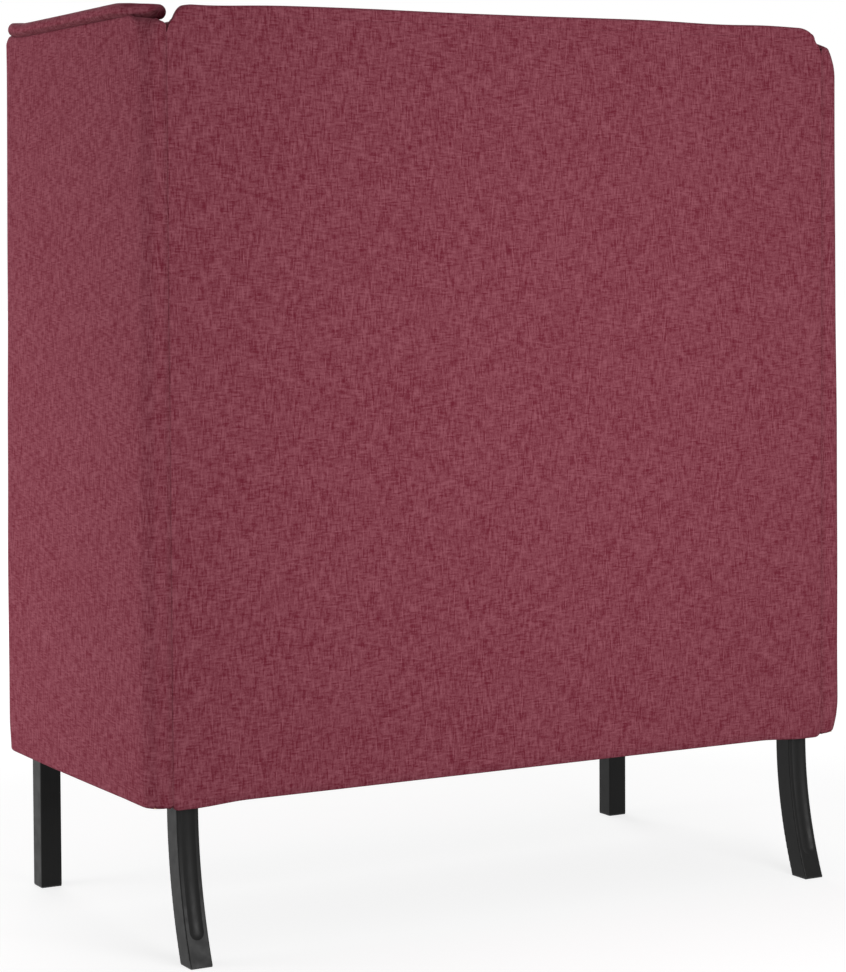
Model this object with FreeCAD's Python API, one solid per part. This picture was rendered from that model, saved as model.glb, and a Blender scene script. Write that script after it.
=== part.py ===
import FreeCAD, Part
import math
import os

# High-back two-seat sofa. Millimetres, +Z up, the seat faces -Y, +X is the right-hand wing as seen
# from the front. The origin is on the floor under the middle of the sofa's bounding box.

Vector = FreeCAD.Vector

# Overall sizes
BODY_WIDTH = 1116.0
BODY_HEIGHT = 1253.5
WING_DEPTH = 505.0
LEG_HEIGHT = 208.5
SEAT_REACH = 60.0

# Legs
LEG_SIDE = 32.0
LEG_EDGE_RADIUS = 2.0
LEG_SPREAD = 994.0
FRONT_LEG_LEAD = 15.0
REAR_LEG_SET = 36.0
REAR_LEG_KICK = 41.0
FLUTE_WIDTH = 20.0
FLUTE_DEPTH = 2.5
FLUTE_FOOT = 34.0
GLIDE_HEIGHT = 2.0
GLIDE_INSET = 0.8

# Seat box
FRONT_RAIL_THICK = 42.0
SEAT_RAIL_THICK = 22.0
SEAT_RAIL_HEIGHT = 112.0
CENTRE_RAIL_HEIGHT = 60.0
CORNER_BLOCK_LEG = 60.0
CORNER_BLOCK_HEIGHT = 50.0
DUST_COVER_THICK = 1.0
DUST_COVER_INSET = 2.0
DUST_COVER_LEG_GAP = 1.0

# Seat springs and their fixings
SPRING_COUNT = 8
SPRING_TURNS = 20
SPRING_WIRE = 3.6
SPRING_LOOP_WIDTH = 46.0
SPRING_SEAT_INSET = 12.0
CLIP_STRIP = 1.2
CLIP_WIDTH = 18.0
CLIP_HEEL = 9.0
CLIP_TONGUE = 6.0
CLIP_GAP = 0.1
TIE_WIRE = 2.4
TIE_WIRE_END = 20.0
TIE_PLACE_SHARES = (0.35, 0.65)
TOUCH_GAP = 0.05

# Back frame
BACK_FRAME_THICK = 50.0
BACK_POST_WIDTH = 45.0
BACK_BOTTOM_RAIL_HEIGHT = 80.0
BACK_TOP_RAIL_HEIGHT = 45.0
BACK_CORNER_RADIUS = 30.0
LUMBAR_RAIL_HEIGHT = 45.0
LUMBAR_RAIL_RISE = 360.0
CENTRE_STILE_WIDTH = 40.0
WEBBING_COUNT = 7
WEBBING_WIDTH = 50.0
WEBBING_THICK = 2.0
WEBBING_END_INSET = 6.0

# Wing frames
WING_FRAME_THICK = 24.0
WING_POST_WIDTH = 45.0
WING_BOTTOM_RAIL_HEIGHT = 90.0
WING_TOP_RAIL_HEIGHT = 45.0
WING_MID_RAIL_HEIGHT = 45.0
WING_MID_RAIL_RISE = 400.0
WING_RISE = 3.0
WING_CORNER_RADIUS = 46.0
WING_BOARD_RISE = 40.0

# Boards, pads and covers
BOARD_THICK = 3.0
WING_OUTER_PAD = 5.0
WING_OUTER_CROWN = 4.0
WING_INNER_PAD = 5.0
WING_INNER_CROWN = 5.0
WING_EDGE_PAD = 6.0
WING_COVER_CORNER = 42.0
WING_BAND_SETBACK = 40.0
BACK_OUTER_PAD = 7.0
BACK_OUTER_CROWN = 3.0
BACK_COVER_CORNER = 40.0
BACK_INNER_BOTTOM = 44.0
BACK_INNER_LUMBAR = 52.0
BACK_INNER_TOP = 24.0
BACK_INNER_EDGE = 32.0
BACK_INNER_SWELL = 3.5
BACK_INNER_SIDE_GAP = 1.0
TOP_BAND_EDGE = 20.0
TOP_BAND_CROWN = 5.0
BORDER_PAD = 10.0
BORDER_CROWN = 3.0
DECK_PAD = 12.0
PANEL_GAP = 0.3
SOFT_GAP = 0.4

# Loose seat cushion
CUSHION_EDGE = 92.0
CUSHION_CROWN = 22.0
CUSHION_DRAW = 7.0
CUSHION_CORNER = 30.0
CUSHION_SIDE_GAP = 1.2
CUSHION_REAR_GAP = 2.0
CUSHION_COVER = 2.0

# Hardware
BOLT_DIAMETER = 8.0
BOLT_HEAD_DIAMETER = 14.0
BOLT_HEAD_HEIGHT = 5.0
BOLT_HOLE_GAP = 0.5
THREAD_GAP = 0.05
INSERT_DIAMETER = 12.0
INSERT_LENGTH = 16.0
INSERT_HOLE_SPARE = 2.0
BOLT_GRIP = 14.0
WASHER_DIAMETER = 22.0
WASHER_THICK = 1.6
HANGER_IN_LEG = 32.0
HANGER_TIP_SPARE = 2.0
SEAT_BOLT_RISE = 45.0
SEAT_BOLT_SET = 110.0
BACK_BOLT_SPREAD = 640.0
WING_BOLT_RISES = (420.0, 900.0)

# How far a cutting tool runs past the faces it cuts
OVERRUN = 1.0

# How much more a pad's long way bows than its short way
LONG_BOW_SHARE = 1.4

# Heights from the floor up
frame_bottom = LEG_HEIGHT + DUST_COVER_THICK
band_height = TOP_BAND_EDGE + TOP_BAND_CROWN
back_frame_top = BODY_HEIGHT - band_height
wing_frame_top = back_frame_top + WING_RISE
seat_rail_top = frame_bottom + SEAT_RAIL_HEIGHT
spring_level = seat_rail_top + CLIP_STRIP + CLIP_GAP + SPRING_WIRE / 2
clip_top = spring_level + SPRING_WIRE / 2 + CLIP_GAP + CLIP_STRIP
deck_bottom = clip_top + SOFT_GAP
deck_top = deck_bottom + DECK_PAD
cushion_bottom = deck_top + SOFT_GAP

# Distances out from the middle plane, for the right-hand wing
wing_outer_x = BODY_WIDTH / 2
outer_board_x = wing_outer_x - WING_OUTER_PAD
wing_frame_out_x = outer_board_x - BOARD_THICK
wing_frame_in_x = wing_frame_out_x - WING_FRAME_THICK
inner_board_x = wing_frame_in_x - BOARD_THICK
wing_inner_x = inner_board_x - WING_INNER_PAD
back_half_x = wing_frame_in_x - PANEL_GAP
leg_x = LEG_SPREAD / 2

# The arc of a rear leg: upright at its top, kicked back at the floor
leg_top = frame_bottom
leg_half = LEG_SIDE / 2
sabre_radius = (leg_top ** 2 + REAR_LEG_KICK ** 2) / (2 * REAR_LEG_KICK)
sabre_rear_radius = sabre_radius - leg_half
foot_angle = math.asin((leg_top - GLIDE_HEIGHT) / sabre_rear_radius)
foot_overhang = leg_half - REAR_LEG_SET + sabre_rear_radius * (1 - math.cos(foot_angle))

# Distances from back to front
total_depth = foot_overhang + WING_DEPTH + SEAT_REACH
back_y = total_depth / 2 - foot_overhang
nose_y = -total_depth / 2
wing_front_y = back_y - WING_DEPTH
back_board_y = back_y - BACK_OUTER_PAD
back_frame_rear_y = back_board_y - BOARD_THICK
back_frame_front_y = back_frame_rear_y - BACK_FRAME_THICK
webbing_front_y = back_frame_front_y - WEBBING_THICK
front_leg_y = wing_front_y - FRONT_LEG_LEAD
rear_leg_y = back_y - REAR_LEG_SET
front_rail_front_y = front_leg_y - FRONT_RAIL_THICK / 2
front_rail_rear_y = front_leg_y + FRONT_RAIL_THICK / 2
rear_rail_front_y = back_frame_front_y - SEAT_RAIL_THICK
back_pad_front_y = webbing_front_y - BACK_INNER_LUMBAR
wing_post_rear_y = back_y - WING_EDGE_PAD
wing_post_front_y = wing_front_y + WING_EDGE_PAD
side_rail_in_x = wing_inner_x - SEAT_RAIL_THICK


# Plain helpers


def block(low, high):
    """A box between two opposite corners."""
    size = high - low
    return Part.makeBox(size.x, size.y, size.z, low)


def prism(edges, push):
    """A closed outline pushed along a vector."""
    return Part.Face(Part.Wire(edges)).extrude(push)


def line(start, end):
    return Part.LineSegment(start, end).toShape()


def arc(start, middle, end):
    return Part.Arc(start, middle, end).toShape()


def mirrored(shape):
    """The left-hand twin of a right-hand piece."""
    return shape.mirror(Vector(), Vector(1, 0, 0))


def cylinder(diameter, length, foot, axis):
    return Part.makeCylinder(diameter / 2, length, foot, axis)


def domed_outline(half, thick, crown, across):
    """Edges of a slab's section: flat below, an arc above, spread along the given axis."""
    up = Vector(0, 0, 1)
    left_foot = across * -half
    right_foot = across * half
    left_top = left_foot + up * thick
    right_top = right_foot + up * thick
    peak = up * (thick + crown)
    return [
        line(left_foot, right_foot),
        line(right_foot, right_top),
        arc(right_top, peak, left_top),
        line(left_top, left_foot),
    ]


def crowned_slab(width, height, thick, crown):
    """A pad lying on the plane z = 0, centred, with its upper face crowned both ways.

    The long way bows more than the short way, so the short way's arc sets the height in the middle.
    """
    along_x = Vector(1, 0, 0)
    along_y = Vector(0, 1, 0)
    crown_x = crown if width < height else crown * LONG_BOW_SHARE
    crown_y = crown * LONG_BOW_SHARE if width < height else crown
    bowed_in_x = prism(domed_outline(width / 2, thick, crown_x, along_x), along_y * height)
    bowed_in_x.translate(along_y * (-height / 2))
    bowed_in_y = prism(domed_outline(height / 2, thick, crown_y, along_y), along_x * width)
    bowed_in_y.translate(along_x * (-width / 2))
    return bowed_in_x.common(bowed_in_y)


def stood_up(pad, foot, across, up):
    """Turns a pad so that its width runs along across, its height along up, and moves it to foot."""
    out = across.cross(up)
    turn = FreeCAD.Matrix(
        across.x, up.x, out.x, foot.x,
        across.y, up.y, out.y, foot.y,
        across.z, up.z, out.z, foot.z,
        0, 0, 0, 1,
    )
    pad.Placement = FreeCAD.Placement(turn)
    return pad


def rounded_top(piece, half_x, top, radius):
    """Trims a piece of the back to an outline whose two upper corners are rounded, seen from behind."""
    room = piece.BoundBox
    panel = block(
        Vector(-half_x, room.YMin - OVERRUN, LEG_HEIGHT - OVERRUN),
        Vector(half_x, room.YMax + OVERRUN, top),
    )
    corners = []
    for edge in panel.Edges:
        if edge.BoundBox.ZMin > top - OVERRUN and edge.BoundBox.XLength < OVERRUN:
            corners.append(edge)
    return piece.common(panel.makeFillet(radius, corners))


def rounded_rear(piece, rear_y, top, radius):
    """Trims a piece of a wing to an outline whose upper rear corner is rounded, seen from the side."""
    room = piece.BoundBox
    panel = block(
        Vector(room.XMin - OVERRUN, wing_front_y - OVERRUN, LEG_HEIGHT - OVERRUN),
        Vector(room.XMax + OVERRUN, rear_y, top),
    )
    corner = []
    for edge in panel.Edges:
        if edge.BoundBox.ZMin > top - OVERRUN and edge.BoundBox.YMin > rear_y - OVERRUN:
            corner.append(edge)
    return piece.common(panel.makeFillet(radius, corner))


def group(solids):
    return Part.makeCompound(solids)


# Legs


def hanger_hole(x, y):
    depth = HANGER_IN_LEG + HANGER_TIP_SPARE
    foot = Vector(x, y, leg_top - depth)
    return cylinder(BOLT_DIAMETER + 2 * THREAD_GAP, depth + OVERRUN, foot, Vector(0, 0, 1))


def front_leg():
    """Straight square leg of the right front corner."""
    half = Vector(leg_half, leg_half, 0)
    centre = Vector(leg_x, front_leg_y, 0)
    leg = block(centre - half + Vector(0, 0, GLIDE_HEIGHT), centre + half + Vector(0, 0, leg_top))
    upright = [edge for edge in leg.Edges if edge.BoundBox.ZLength > leg_half]
    leg = leg.makeFillet(LEG_EDGE_RADIUS, upright)
    return leg.cut(hanger_hole(leg_x, front_leg_y))


def sabre_point(radius, angle):
    """A point on the curve of a rear leg, in the leg's left face."""
    centre_y = rear_leg_y + sabre_radius
    y = centre_y - radius * math.cos(angle)
    z = leg_top - radius * math.sin(angle)
    return Vector(leg_x - leg_half, y, z)


def sabre_edge(radius):
    """The top, middle and foot points of one long curved edge."""
    foot = math.asin((leg_top - GLIDE_HEIGHT) / radius)
    return sabre_point(radius, 0), sabre_point(radius, foot / 2), sabre_point(radius, foot)


def flute():
    """The shallow hollow down the rear face of a rear leg, with a rounded lower end."""
    tube = (FLUTE_WIDTH ** 2 / 4 + FLUTE_DEPTH ** 2) / (2 * FLUTE_DEPTH)
    radius = sabre_rear_radius + FLUTE_DEPTH - tube
    pivot = Vector(leg_x, rear_leg_y + sabre_radius, leg_top)
    axis = Vector(1, 0, 0)
    end_radius = FLUTE_WIDTH / 2
    end_angle = math.asin((leg_top - FLUTE_FOOT - end_radius) / sabre_rear_radius)
    lead_angle = OVERRUN / radius
    section = Part.Circle(pivot - Vector(0, radius, 0), Vector(0, 0, 1), tube)
    face = Part.Face(Part.Wire(section.toShape()))
    face.rotate(pivot, axis, -math.degrees(lead_angle))
    channel = face.revolve(pivot, axis, math.degrees(end_angle + lead_angle))
    end = pivot - Vector(0, radius * math.cos(end_angle), radius * math.sin(end_angle))
    return channel.fuse(Part.makeSphere(tube, end))


def rear_leg():
    """Curved leg of the right rear corner, square at the top and kicked back at the floor."""
    rear_top, rear_middle, rear_foot = sabre_edge(sabre_rear_radius)
    front_top, front_middle, front_foot = sabre_edge(sabre_radius + leg_half)
    outline = [
        arc(rear_top, rear_middle, rear_foot),
        line(rear_foot, front_foot),
        arc(front_foot, front_middle, front_top),
        line(front_top, rear_top),
    ]
    leg = prism(outline, Vector(LEG_SIDE, 0, 0))
    long_edges = [edge for edge in leg.Edges if edge.BoundBox.ZLength > leg_half]
    leg = leg.makeFillet(LEG_EDGE_RADIUS, long_edges)
    leg = leg.cut(flute())
    return leg.cut(hanger_hole(leg_x, rear_leg_y))


def foot_places():
    """Middles of the four feet on the floor."""
    front_radius = sabre_radius + leg_half
    rear_edge = sabre_edge(sabre_rear_radius)[2].y
    front_edge = sabre_edge(front_radius)[2].y
    rear_foot_y = (rear_edge + front_edge) / 2
    return [
        (leg_x, front_leg_y, LEG_SIDE),
        (-leg_x, front_leg_y, LEG_SIDE),
        (leg_x, rear_foot_y, rear_edge - front_edge),
        (-leg_x, rear_foot_y, rear_edge - front_edge),
    ]


def foot_glides():
    glides = []
    for x, y, length in foot_places():
        half = Vector(leg_half - GLIDE_INSET, length / 2 - GLIDE_INSET, 0)
        centre = Vector(x, y, 0)
        glide = block(centre - half, centre + half + Vector(0, 0, GLIDE_HEIGHT))
        glides.append(glide)
    return group(glides)


# Places of the joining hardware: each is the face that the bolt's washer bears on, the way in,
# and how far the face of the piece with the threaded insert lies along it


def wing_sides(x):
    return [(x, Vector(1, 0, 0)), (-x, Vector(-1, 0, 0))]


def seat_bolts():
    """Seat box to wing: through a side rail into a wing's bottom rail."""
    z = frame_bottom + SEAT_BOLT_RISE
    reach = wing_frame_in_x - side_rail_in_x
    places = []
    for x, way in wing_sides(side_rail_in_x):
        for y in (front_rail_rear_y + SEAT_BOLT_SET, rear_rail_front_y - SEAT_BOLT_SET):
            places.append((Vector(x, y, z), way, reach))
    return places


def wing_bolts():
    """Back to wing: through a back post into a wing's rear post."""
    y = (back_frame_front_y + back_frame_rear_y) / 2
    post_in_x = back_half_x - BACK_POST_WIDTH
    reach = wing_frame_in_x - post_in_x
    places = []
    for x, way in wing_sides(post_in_x):
        for rise in WING_BOLT_RISES:
            places.append((Vector(x, y, frame_bottom + rise), way, reach))
    return places


def back_bolts():
    """Seat box to back: through the rear rail into the back's bottom rail."""
    z = frame_bottom + BACK_BOTTOM_RAIL_HEIGHT / 2
    way = Vector(0, 1, 0)
    half = BACK_BOLT_SPREAD / 2
    return [(Vector(x, rear_rail_front_y, z), way, SEAT_RAIL_THICK) for x in (-half, half)]


def leg_bolts():
    """Middles of the leg tops, where the hanger bolts cross into the frame."""
    return [
        Vector(leg_x, front_leg_y, leg_top),
        Vector(-leg_x, front_leg_y, leg_top),
        Vector(leg_x, rear_leg_y, leg_top),
        Vector(-leg_x, rear_leg_y, leg_top),
    ]


def joining_bolt(seat, way, reach):
    """Flat-headed machine bolt that stands on its washer."""
    under_head = seat - way * WASHER_THICK
    shank = cylinder(BOLT_DIAMETER, WASHER_THICK + reach + BOLT_GRIP, under_head, way)
    head = cylinder(BOLT_HEAD_DIAMETER, BOLT_HEAD_HEIGHT, under_head - way * BOLT_HEAD_HEIGHT, way)
    return shank.fuse(head)


def washer(seat, way):
    disc = cylinder(WASHER_DIAMETER, WASHER_THICK, seat - way * WASHER_THICK, way)
    bore = cylinder(BOLT_DIAMETER + 2 * BOLT_HOLE_GAP, WASHER_THICK + 2 * OVERRUN,
                    seat - way * (WASHER_THICK + OVERRUN), way)
    return disc.cut(bore)


def insert_nut(mouth, way):
    """Threaded sleeve let into the wood, flush with the face it is driven into."""
    sleeve = cylinder(INSERT_DIAMETER, INSERT_LENGTH, mouth, way)
    bore = cylinder(BOLT_DIAMETER + 2 * THREAD_GAP, INSERT_LENGTH + 2 * OVERRUN, mouth - way * OVERRUN, way)
    return sleeve.cut(bore)


def insert_hole(mouth, way):
    depth = INSERT_LENGTH + INSERT_HOLE_SPARE
    return cylinder(INSERT_DIAMETER + 2 * THREAD_GAP, depth + OVERRUN, mouth - way * OVERRUN, way)


def bolt_hole(seat, way, reach):
    """Clearance hole from the washer face to the face of the threaded piece."""
    return cylinder(BOLT_DIAMETER + 2 * BOLT_HOLE_GAP, reach + OVERRUN, seat - way * OVERRUN, way)


def hanger_bolt(crossing):
    length = HANGER_IN_LEG + INSERT_LENGTH
    return cylinder(BOLT_DIAMETER, length, crossing - Vector(0, 0, HANGER_IN_LEG), Vector(0, 0, 1))


def all_joints():
    return seat_bolts() + wing_bolts() + back_bolts()


def insert_mouths():
    mouths = [(seat + way * reach, way) for seat, way, reach in all_joints()]
    mouths += [(crossing, Vector(0, 0, 1)) for crossing in leg_bolts()]
    return mouths


def drilled(piece, seats=(), mouths=()):
    """Drills bolt holes and insert holes where they cross a piece of the frame."""
    for seat, way, reach in seats:
        piece = piece.cut(bolt_hole(seat, way, reach))
    for mouth, way in mouths:
        piece = piece.cut(insert_hole(mouth, way))
    return piece


def threaded(joints):
    return [(seat + way * reach, way) for seat, way, reach in joints]


def right_hand(joints):
    return [joint for joint in joints if joint[0].x > 0]


# Seat box


def front_rail():
    rail = block(
        Vector(-wing_inner_x, front_rail_front_y, frame_bottom),
        Vector(wing_inner_x, front_rail_rear_y, seat_rail_top),
    )
    mouths = [(crossing, Vector(0, 0, 1)) for crossing in leg_bolts()]
    return drilled(rail, mouths=mouths)


def rear_rail():
    rail = block(
        Vector(-wing_inner_x, rear_rail_front_y, frame_bottom),
        Vector(wing_inner_x, back_frame_front_y, seat_rail_top),
    )
    return drilled(rail, seats=back_bolts())


def side_rail():
    rail = block(
        Vector(side_rail_in_x, front_rail_rear_y, frame_bottom),
        Vector(wing_inner_x, rear_rail_front_y, seat_rail_top),
    )
    return drilled(rail, seats=right_hand(seat_bolts()))


def centre_rail():
    half = SEAT_RAIL_THICK / 2
    return block(
        Vector(-half, front_rail_rear_y, frame_bottom),
        Vector(half, rear_rail_front_y, frame_bottom + CENTRE_RAIL_HEIGHT),
    )


def corner_blocks():
    """Glued three-cornered blocks in the four inner corners of the seat box."""
    blocks = []
    for y, away in ((front_rail_rear_y, 1), (rear_rail_front_y, -1)):
        corner = Vector(side_rail_in_x, y, frame_bottom)
        on_side_rail = corner + Vector(0, away * CORNER_BLOCK_LEG, 0)
        on_cross_rail = corner - Vector(CORNER_BLOCK_LEG, 0, 0)
        outline = [line(corner, on_side_rail), line(on_side_rail, on_cross_rail), line(on_cross_rail, corner)]
        right = prism(outline, Vector(0, 0, CORNER_BLOCK_HEIGHT))
        blocks += [right, mirrored(right)]
    return group(blocks)


def dust_cover():
    """Thin black cloth stapled under the frame, cut out round the legs."""
    edge_x = wing_inner_x - DUST_COVER_INSET
    cloth = block(
        Vector(-edge_x, front_rail_front_y + DUST_COVER_INSET, LEG_HEIGHT),
        Vector(edge_x, back_frame_rear_y - DUST_COVER_INSET, frame_bottom),
    )
    half = leg_half + DUST_COVER_LEG_GAP
    for crossing in leg_bolts():
        low = crossing - Vector(half, half, DUST_COVER_THICK + OVERRUN)
        high = crossing + Vector(half, half, OVERRUN)
        cloth = cloth.cut(block(low, high))
    return cloth


# Seat springs

spring_front_y = front_rail_rear_y - SPRING_SEAT_INSET
spring_rear_y = rear_rail_front_y + SPRING_SEAT_INSET
spring_pitch = (spring_rear_y - spring_front_y) / SPRING_TURNS
spring_spacing = 2 * side_rail_in_x / SPRING_COUNT
spring_xs = [(index + 0.5 - SPRING_COUNT / 2) * spring_spacing for index in range(SPRING_COUNT)]


def zigzag_spring():
    """One sinuous spring about x = 0: straight bars joined by half turns, from front to rear."""
    bend = spring_pitch / 2
    half_bar = SPRING_LOOP_WIDTH / 2 - bend
    path = []
    for row in range(SPRING_TURNS + 1):
        side = 1 if row % 2 == 0 else -1
        y = spring_front_y + row * spring_pitch
        bar_start = Vector(-side * half_bar, y, spring_level)
        bar_end = Vector(side * half_bar, y, spring_level)
        path.append(line(bar_start, bar_end))
        if row < SPRING_TURNS:
            crest = bar_end + Vector(side * bend, bend, 0)
            path.append(arc(bar_end, crest, bar_end + Vector(0, spring_pitch, 0)))
    start = Vector(-half_bar, spring_front_y, spring_level)
    section = Part.Wire(Part.Circle(start, Vector(1, 0, 0), SPRING_WIRE / 2).toShape())
    return Part.Wire(path).makePipeShell([section], True, False)


def moved_copies(shape, offsets):
    copies = []
    for offset in offsets:
        copy = shape.copy()
        copy.translate(offset)
        copies.append(copy)
    return copies


def seat_springs():
    return group(moved_copies(zigzag_spring(), [Vector(x, 0, 0) for x in spring_xs]))


def spring_clip(y, away):
    """Folded steel strip that holds an end bar down on a rail; away points off the seat."""
    half = CLIP_WIDTH / 2
    wire_half = SPRING_WIRE / 2 + CLIP_GAP
    heel_y = y + away * (wire_half + CLIP_STRIP)
    inside_y = y + away * wire_half
    foot_y = y - away * CLIP_HEEL
    tongue_y = y - away * CLIP_TONGUE
    roof = spring_level + wire_half
    floor = spring_level - wire_half
    corners = [
        (heel_y, seat_rail_top),
        (foot_y, seat_rail_top),
        (foot_y, floor),
        (inside_y, floor),
        (inside_y, roof),
        (tongue_y, roof),
        (tongue_y, clip_top),
        (heel_y, clip_top),
    ]
    points = [Vector(-half, corner_y, corner_z) for corner_y, corner_z in corners]
    outline = [line(points[index - 1], points[index]) for index in range(len(points))]
    return prism(outline, Vector(CLIP_WIDTH, 0, 0))


def spring_clips():
    offsets = [Vector(x, 0, 0) for x in spring_xs]
    front = moved_copies(spring_clip(spring_front_y, -1), offsets)
    rear = moved_copies(spring_clip(spring_rear_y, 1), offsets)
    return group(front + rear)


def tie_wires():
    """Straight wires hooked across under all the springs."""
    reach = spring_xs[-1] + SPRING_LOOP_WIDTH / 2 + TIE_WIRE_END
    z = spring_level - SPRING_WIRE / 2 - TIE_WIRE / 2 - TOUCH_GAP
    wires = []
    for share in TIE_PLACE_SHARES:
        y = spring_front_y + share * (spring_rear_y - spring_front_y)
        wires.append(cylinder(TIE_WIRE, 2 * reach, Vector(-reach, y, z), Vector(1, 0, 0)))
    return group(wires)


# Seat padding and cushion


def deck_pad():
    return block(
        Vector(-wing_inner_x, front_rail_front_y, deck_bottom),
        Vector(wing_inner_x, webbing_front_y - SOFT_GAP, deck_top),
    )


def front_border():
    """Padded strip over the front rail, returned round both corners as far as the wings."""
    height = deck_top - LEG_HEIGHT
    corner_x = wing_frame_in_x
    face = crowned_slab(2 * corner_x, height, BORDER_PAD, BORDER_CROWN)
    middle = Vector(0, front_rail_front_y, LEG_HEIGHT + height / 2)
    border = stood_up(face, middle, Vector(1, 0, 0), Vector(0, 0, 1))
    back_end = wing_front_y - PANEL_GAP
    right_return = block(
        Vector(wing_inner_x, front_rail_front_y, LEG_HEIGHT),
        Vector(corner_x, back_end, deck_top),
    )
    return border.fuse([right_return, mirrored(right_return)]).removeSplitter()


cushion_half_x = wing_inner_x - WING_INNER_CROWN - CUSHION_SIDE_GAP
cushion_rear_y = back_pad_front_y - CUSHION_REAR_GAP


def cushion_form(inset):
    """The cushion's outer form, or one that lies an even inset inside it."""
    half_x = cushion_half_x - inset
    front = nose_y + inset
    rear = cushion_rear_y - inset
    middle_y = (front + rear) / 2
    low = cushion_bottom + inset
    tall = CUSHION_EDGE + CUSHION_CROWN - 2 * inset
    front_left = Vector(-half_x, front, low)
    front_right = Vector(half_x, front, low)
    rear_right = Vector(half_x, rear, low)
    rear_left = Vector(-half_x, rear, low)
    plan = [
        arc(front_left, Vector(0, front + CUSHION_DRAW, low), front_right),
        arc(front_right, Vector(half_x - CUSHION_DRAW, middle_y, low), rear_right),
        arc(rear_right, Vector(0, rear - CUSHION_DRAW, low), rear_left),
        arc(rear_left, Vector(CUSHION_DRAW - half_x, middle_y, low), front_left),
    ]
    body = prism(plan, Vector(0, 0, tall))
    upright = [edge for edge in body.Edges if edge.BoundBox.ZLength > tall / 2]
    body = body.makeFillet(CUSHION_CORNER - inset, upright)
    crown = crowned_slab(2 * half_x, rear - front, CUSHION_EDGE - 2 * inset, CUSHION_CROWN)
    crown.translate(Vector(0, middle_y, low))
    return body.common(crown).removeSplitter()


def seat_cushion_core():
    return cushion_form(CUSHION_COVER)


def seat_cushion_cover():
    return cushion_form(0).cut(cushion_form(CUSHION_COVER))


# Back


def back_post():
    post = block(
        Vector(back_half_x - BACK_POST_WIDTH, back_frame_front_y, frame_bottom + BACK_BOTTOM_RAIL_HEIGHT),
        Vector(back_half_x, back_frame_rear_y, back_frame_top - BACK_TOP_RAIL_HEIGHT),
    )
    return drilled(post, seats=right_hand(wing_bolts()))


def back_bottom_rail():
    rail = block(
        Vector(-back_half_x, back_frame_front_y, frame_bottom),
        Vector(back_half_x, back_frame_rear_y, frame_bottom + BACK_BOTTOM_RAIL_HEIGHT),
    )
    mouths = threaded(back_bolts()) + [(crossing, Vector(0, 0, 1)) for crossing in leg_bolts()]
    return drilled(rail, mouths=mouths)


def back_top_rail():
    rail = block(
        Vector(-back_half_x, back_frame_front_y, back_frame_top - BACK_TOP_RAIL_HEIGHT),
        Vector(back_half_x, back_frame_rear_y, back_frame_top),
    )
    return rounded_top(rail, back_half_x, back_frame_top, BACK_CORNER_RADIUS)


lumbar_bottom = frame_bottom + LUMBAR_RAIL_RISE
lumbar_top = lumbar_bottom + LUMBAR_RAIL_HEIGHT


def back_lumbar_rail():
    half = back_half_x - BACK_POST_WIDTH
    return block(
        Vector(-half, back_frame_front_y, lumbar_bottom),
        Vector(half, back_frame_rear_y, lumbar_top),
    )


def back_centre_stile():
    half = CENTRE_STILE_WIDTH / 2
    return block(
        Vector(-half, back_frame_front_y, lumbar_top),
        Vector(half, back_frame_rear_y, back_frame_top - BACK_TOP_RAIL_HEIGHT),
    )


def back_board():
    board = block(
        Vector(-back_half_x, back_frame_rear_y, frame_bottom),
        Vector(back_half_x, back_board_y, back_frame_top),
    )
    return rounded_top(board, back_half_x, back_frame_top, BACK_CORNER_RADIUS)


def back_webbing():
    """Elastic straps across the front of the back frame, evenly spaced above the seat."""
    reach = wing_inner_x - WEBBING_END_INSET
    low = deck_top + WEBBING_WIDTH
    high = back_frame_top - WEBBING_WIDTH
    step = (high - low) / (WEBBING_COUNT - 1)
    straps = []
    for index in range(WEBBING_COUNT):
        middle = low + index * step
        straps.append(block(
            Vector(-reach, webbing_front_y, middle - WEBBING_WIDTH / 2),
            Vector(reach, back_frame_front_y, middle + WEBBING_WIDTH / 2),
        ))
    return group(straps)


def inside_back_pad():
    """Foam back rest: fullest at the small of the back, thin at the top, drawn in at the sides."""
    half = wing_inner_x - BACK_INNER_SIDE_GAP
    low = deck_top + SOFT_GAP
    high = back_frame_top
    rear_y = webbing_front_y
    foot = Vector(-half, rear_y - BACK_INNER_BOTTOM, low)
    fullest = Vector(-half, back_pad_front_y, (low + lumbar_top) / 2)
    head = Vector(-half, rear_y - BACK_INNER_TOP, high)
    rear_head = Vector(-half, rear_y, high)
    rear_foot = Vector(-half, rear_y, low)
    side = [
        arc(foot, (foot + fullest) / 2 - Vector(0, BACK_INNER_SWELL, 0), fullest),
        line(fullest, head),
        line(head, rear_head),
        line(rear_head, rear_foot),
        line(rear_foot, foot),
    ]
    leaned = prism(side, Vector(2 * half, 0, 0))
    bow = BACK_INNER_LUMBAR - BACK_INNER_EDGE + BACK_INNER_SWELL
    across = crowned_slab(2 * half, high - low, BACK_INNER_EDGE, bow)
    middle = Vector(0, rear_y, (low + high) / 2)
    return leaned.common(stood_up(across, middle, Vector(1, 0, 0), Vector(0, 0, 1)))


def outer_back_cover():
    half = back_half_x - PANEL_GAP
    height = back_frame_top - LEG_HEIGHT
    pad = crowned_slab(2 * half, height, BACK_OUTER_PAD, BACK_OUTER_CROWN)
    middle = Vector(0, back_board_y, LEG_HEIGHT + height / 2)
    cover = stood_up(pad, middle, Vector(-1, 0, 0), Vector(0, 0, 1))
    return rounded_top(cover, back_half_x, BODY_HEIGHT + PANEL_GAP, BACK_COVER_CORNER)


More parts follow.
